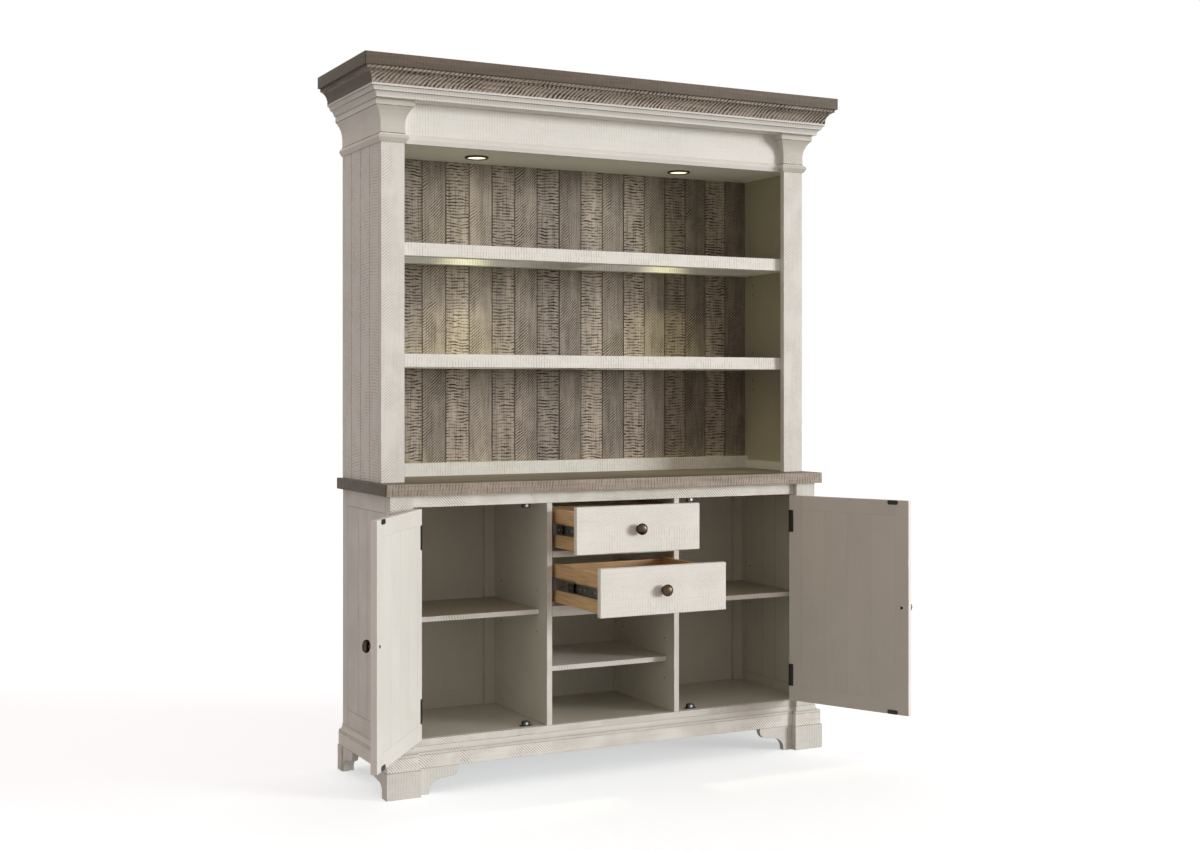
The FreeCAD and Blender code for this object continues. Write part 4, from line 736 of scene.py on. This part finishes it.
# Slide fittings: screws in the web of the drawer's member; an end plate, boss and hole on the middle one.
slideLook = {"screwsBack": (14, 30, 96, 128, 230), "screw": [(0, 0), (3.1, 0), (2.7, 0.8), (0, 1.1)],
             "screwSteps": 16, "web": 1.2, "plate": 30, "plateEnd": 0.5, "plateRim": 3, "thick": 0.3,
             "boss": [(3.6, 0), (8.5, 0), (8.5, 0.25), (7.6, 0.38), (4.6, 0.38), (3.6, 0.25)],
             "bossSteps": 24, "bore": [(0, 0), (3.6, 0), (3.6, 0.3), (0, 0.3)], "boreSteps": 20,
             "boreProud": 0.05}
for level in ("upper", "lower"):
    screws, plates, bores = bmesh.new(), bmesh.new(), bmesh.new()
    for low, high in solidBoxes(level + "_drawer_slides"):
        hand = -1 if low.x < 0 else 1
        web = (high.x if hand < 0 else low.x) + hand * slideLook["web"] * mm
        for back in slideLook["screwsBack"]:
            spot = (web, low.y + back * mm, (low.z + high.z) / 2)
            append(screws, turned(slideLook["screw"], slideLook["screwSteps"], spot, (hand, 0, 0)))
    for low, high in solidBoxes(level + "_slide_middles"):
        hand = -1 if low.x < 0 else 1
        face = low.x if hand < 0 else high.x
        near, far = sorted((face, face + hand * slideLook["thick"] * mm))
        end, edge = slideLook["plateEnd"] * mm, slideLook["plateRim"] * mm
        append(plates, block((near, low.y + end, low.z + edge),
                             (far, low.y + slideLook["plate"] * mm, high.z - edge), 0))
        spot = Vector((face, low.y + slideLook["plate"] / 2 * mm, (low.z + high.z) / 2))
        proud = Vector((hand * slideLook["boreProud"] * mm, 0, 0))
        append(plates, turned(slideLook["boss"], slideLook["bossSteps"], spot, (hand, 0, 0), True))
        append(bores, turned(slideLook["bore"], slideLook["boreSteps"], spot + proud, (hand, 0, 0)))
    drawer, middles = level + "_drawer", level + "_slide_middles"
    finishPiece(level + "SlideScrews", screws, "zincPlatedSteel", drawer, (), workshop["metalBend"])
    finishPiece(level + "SlideEnds", plates, "blackCoatedSteel", middles, (), workshop["metalBend"])
    finishPiece(level + "SlideBores", bores, "zincPlatedSteel", middles, (), workshop["metalBend"])
print("slides: 4")

# Shelf pins with a collar, and flat discs painted with the shade of the spare holes above and below them.
# Pins near the middle sit in a divider, on the side of its board that they are on.
pinLook = {"outline": [(0, -10), (2.4, -10), (2.4, 0), (4.2, 0), (4.2, 1.4), (2.4, 1.8), (2.4, 9.6),
                       (2.0, 10), (0, 10)], "steps": 18,
           "hole": [(0, 0), (2.7, 0), (2.7, 0.12), (0, 0.12)], "holeSteps": 14, "baseHoles": (74, -53),
           "hutchHoles": (64, 32, -32, -64), "hutchFrom": 1000, "nearMiddle": 300, "halfBoard": 9}
pins, holes = bmesh.new(), bmesh.new()
for low, high in solidBoxes("shelf_pins"):
    middle = (low + high) / 2
    inwards = -1 if middle.x > 0 else 1
    if abs(middle.x) < pinLook["nearMiddle"] * mm:
        board = max(abs(b[0].x) for b in solidBoxes("dividers") if b[0].x < 0)
        inwards = inwards if abs(middle.x) < board - pinLook["halfBoard"] * mm else -inwards
    append(pins, turned(pinLook["outline"], pinLook["steps"], middle, (inwards, 0, 0)))
    for rise in pinLook["hutchHoles" if middle.z > pinLook["hutchFrom"] * mm else "baseHoles"]:
        spot = middle + Vector((0, 0, rise * mm))
        append(holes, turned(pinLook["hole"], pinLook["holeSteps"], spot, (inwards, 0, 0)))
finishPiece("shelfPins", pins, "zincPlatedSteel", "cabinet", ["shelf_pins"], workshop["metalBend"])
finishPiece("spareHoleShades", holes, "boreShade", "cabinet", (), workshop["metalBend"])

# Puck lights: a rounded bezel with the lens set just inside it.
puckLook = {"ring": [(29.2, 0), (37, 0), (37, 4.4), (36.2, 5.6), (34.6, 6.0), (31.2, 5.6), (29.4, 4.4)],
            "lens": [(0, 0.4), (28.9, 0.4), (28.9, 3.2), (22, 3.8), (10, 4.0), (0, 4.0)], "steps": 64}
rings, lenses = bmesh.new(), bmesh.new()
for low, high in solidBoxes("light_rings"):
    spot = ((low.x + high.x) / 2, (low.y + high.y) / 2, high.z)
    append(rings, turned(puckLook["ring"], puckLook["steps"], spot, (0, 0, -1), True))
    append(lenses, turned(puckLook["lens"], puckLook["steps"], spot, (0, 0, -1)))
finishPiece("puckRings", rings, "blackCoatedSteel", "cabinet", ["light_rings"], workshop["metalBend"])
finishPiece("puckLenses", lenses, "frostedLens", "cabinet", ["light_lenses"], workshop["metalBend"])

# The panes of the shelves keep their solid form.
panes = frame["nodes"]["shelf_glass"].data
panes.materials.clear()
panes.materials.append(finishes["clearFloatGlass"])
print("pins, holes, lights and panes done")

# Studio: pale floor that keeps a soft shadow, white surround, one soft key from the right and a fill that
# grows overhead. The floor throws back less light than it shows, as a sheet lit for the picture alone does.
# Sizes in mm, spreads in degrees.
studio = {"floorColour": "#e6f2f7", "floorBounce": "#a9a7a4", "floorLift": 0.49, "floorRough": 0.9,
          "floorSize": 40000, "fill": 0.43, "fillAbove": 0.28, "fillColour": "#ffebe5",
          "keyStrength": 2.45, "keyColour": "#ffffff", "keyFrom": (1.15, -1.0, 0.18), "keySpread": 20,
          "puckPower": 19.0, "puckColour": "#fbf6c2", "puckSpread": 54, "puckBlend": 0.9, "puckSize": 20,
          "puckDrop": 10}


def seenDirectly(tree):
    camera = addNode(tree, "ShaderNodeLightPath", out="Is Camera Ray")
    ways = camera.node.outputs
    seen = addNode(tree, sums, {0: camera, 1: ways["Is Glossy Ray"]}, operation="MAXIMUM")
    return addNode(tree, sums, {0: seen, 1: ways["Is Transmission Ray"]}, operation="MAXIMUM")


bm = bmesh.new()
bmesh.ops.create_grid(bm, x_segments=1, y_segments=1, size=studio["floorSize"] * mm)
floorMesh = bpy.data.meshes.new("studioFloor")
bm.to_mesh(floorMesh)
bm.free()
floor = bpy.data.objects.new("studioFloor", floorMesh)
bpy.context.scene.collection.objects.link(floor)
floorMaterial, floorTree, floorShader = newMaterial("paleStudioFloor", Roughness=studio["floorRough"])
seen = seenDirectly(floorTree)
paper = addNode(floorTree, blend, {0: seen, 6: linear(studio["floorBounce"]),
                                   7: linear(studio["floorColour"])}, out=2, data_type="RGBA")
lift = addNode(floorTree, sums, {0: seen, 1: studio["floorLift"]}, operation="MULTIPLY")
floorTree.links.new(paper, floorShader.inputs["Base Color"])
floorTree.links.new(lift, floorShader.inputs["Emission Strength"])
floorShader.inputs["Emission Color"].default_value = (1, 1, 1, 1)
floorMesh.materials.append(floorMaterial)

world = bpy.data.worlds.new("studioSurround")
world.use_nodes = True
bpy.context.scene.world = world
worldTree = world.node_tree
backdrop = worldTree.nodes["Background"]
seen = seenDirectly(worldTree)
surround = addNode(worldTree, blend, {0: seen, 6: linear(studio["fillColour"]), 7: (1, 1, 1, 1)}, out=2,
                   data_type="RGBA")
way = addNode(worldTree, "ShaderNodeTexCoord")
height = addNode(worldTree, "ShaderNodeSeparateXYZ", {"Vector": way}, out="Z")
fill = addNode(worldTree, sums, {0: height, 1: studio["fillAbove"], 2: studio["fill"]},
               operation="MULTIPLY_ADD")
level = addNode(worldTree, remap, {"Value": seen, "To Min": fill, "To Max": 1.0})
worldTree.links.new(surround, backdrop.inputs["Color"])
worldTree.links.new(level, backdrop.inputs["Strength"])

keyData = bpy.data.lights.new("keyLight", "SUN")
keyData.energy = studio["keyStrength"]
keyData.color = linear(studio["keyColour"])[:3]
keyData.angle = math.radians(studio["keySpread"])
keyLight = bpy.data.objects.new("keyLight", keyData)
keyLight.rotation_euler = Vector(studio["keyFrom"]).to_track_quat("Z", "Y").to_euler()
bpy.context.scene.collection.objects.link(keyLight)
for index, (low, high) in enumerate(solidBoxes("light_lenses")):
    puckData = bpy.data.lights.new("puckLight%d" % index, "SPOT")
    puckData.energy = studio["puckPower"]
    puckData.color = linear(studio["puckColour"])[:3]
    puckData.spot_size = math.radians(studio["puckSpread"])
    puckData.spot_blend = studio["puckBlend"]
    puckData.shadow_soft_size = studio["puckSize"] * mm
    puck = bpy.data.objects.new("puckLight%d" % index, puckData)
    puck.location = ((low.x + high.x) / 2, (low.y + high.y) / 2, low.z - studio["puckDrop"] * mm)
    bpy.context.scene.collection.objects.link(puck)

# Camera where the photograph was taken from, held level: lens and sensor in mm, place in metres, degrees.
shot = {"lens": 47.535, "sensor": 36, "lift": -0.0292, "place": (-2.3138, -4.5625, 1.1851), "level": 90,
        "turn": -27.36}
cameraData = bpy.data.cameras.new("shotCamera")
cameraData.lens = shot["lens"]
cameraData.sensor_width = shot["sensor"]
cameraData.sensor_fit = "HORIZONTAL"
cameraData.shift_y = shot["lift"]
camera = bpy.data.objects.new("shotCamera", cameraData)
camera.location = shot["place"]
camera.rotation_euler = (math.radians(shot["level"]), 0, math.radians(shot["turn"]))
bpy.context.scene.collection.objects.link(camera)
bpy.context.scene.camera = camera
bpy.context.scene.view_settings.view_transform = "Standard"
print("studio set")
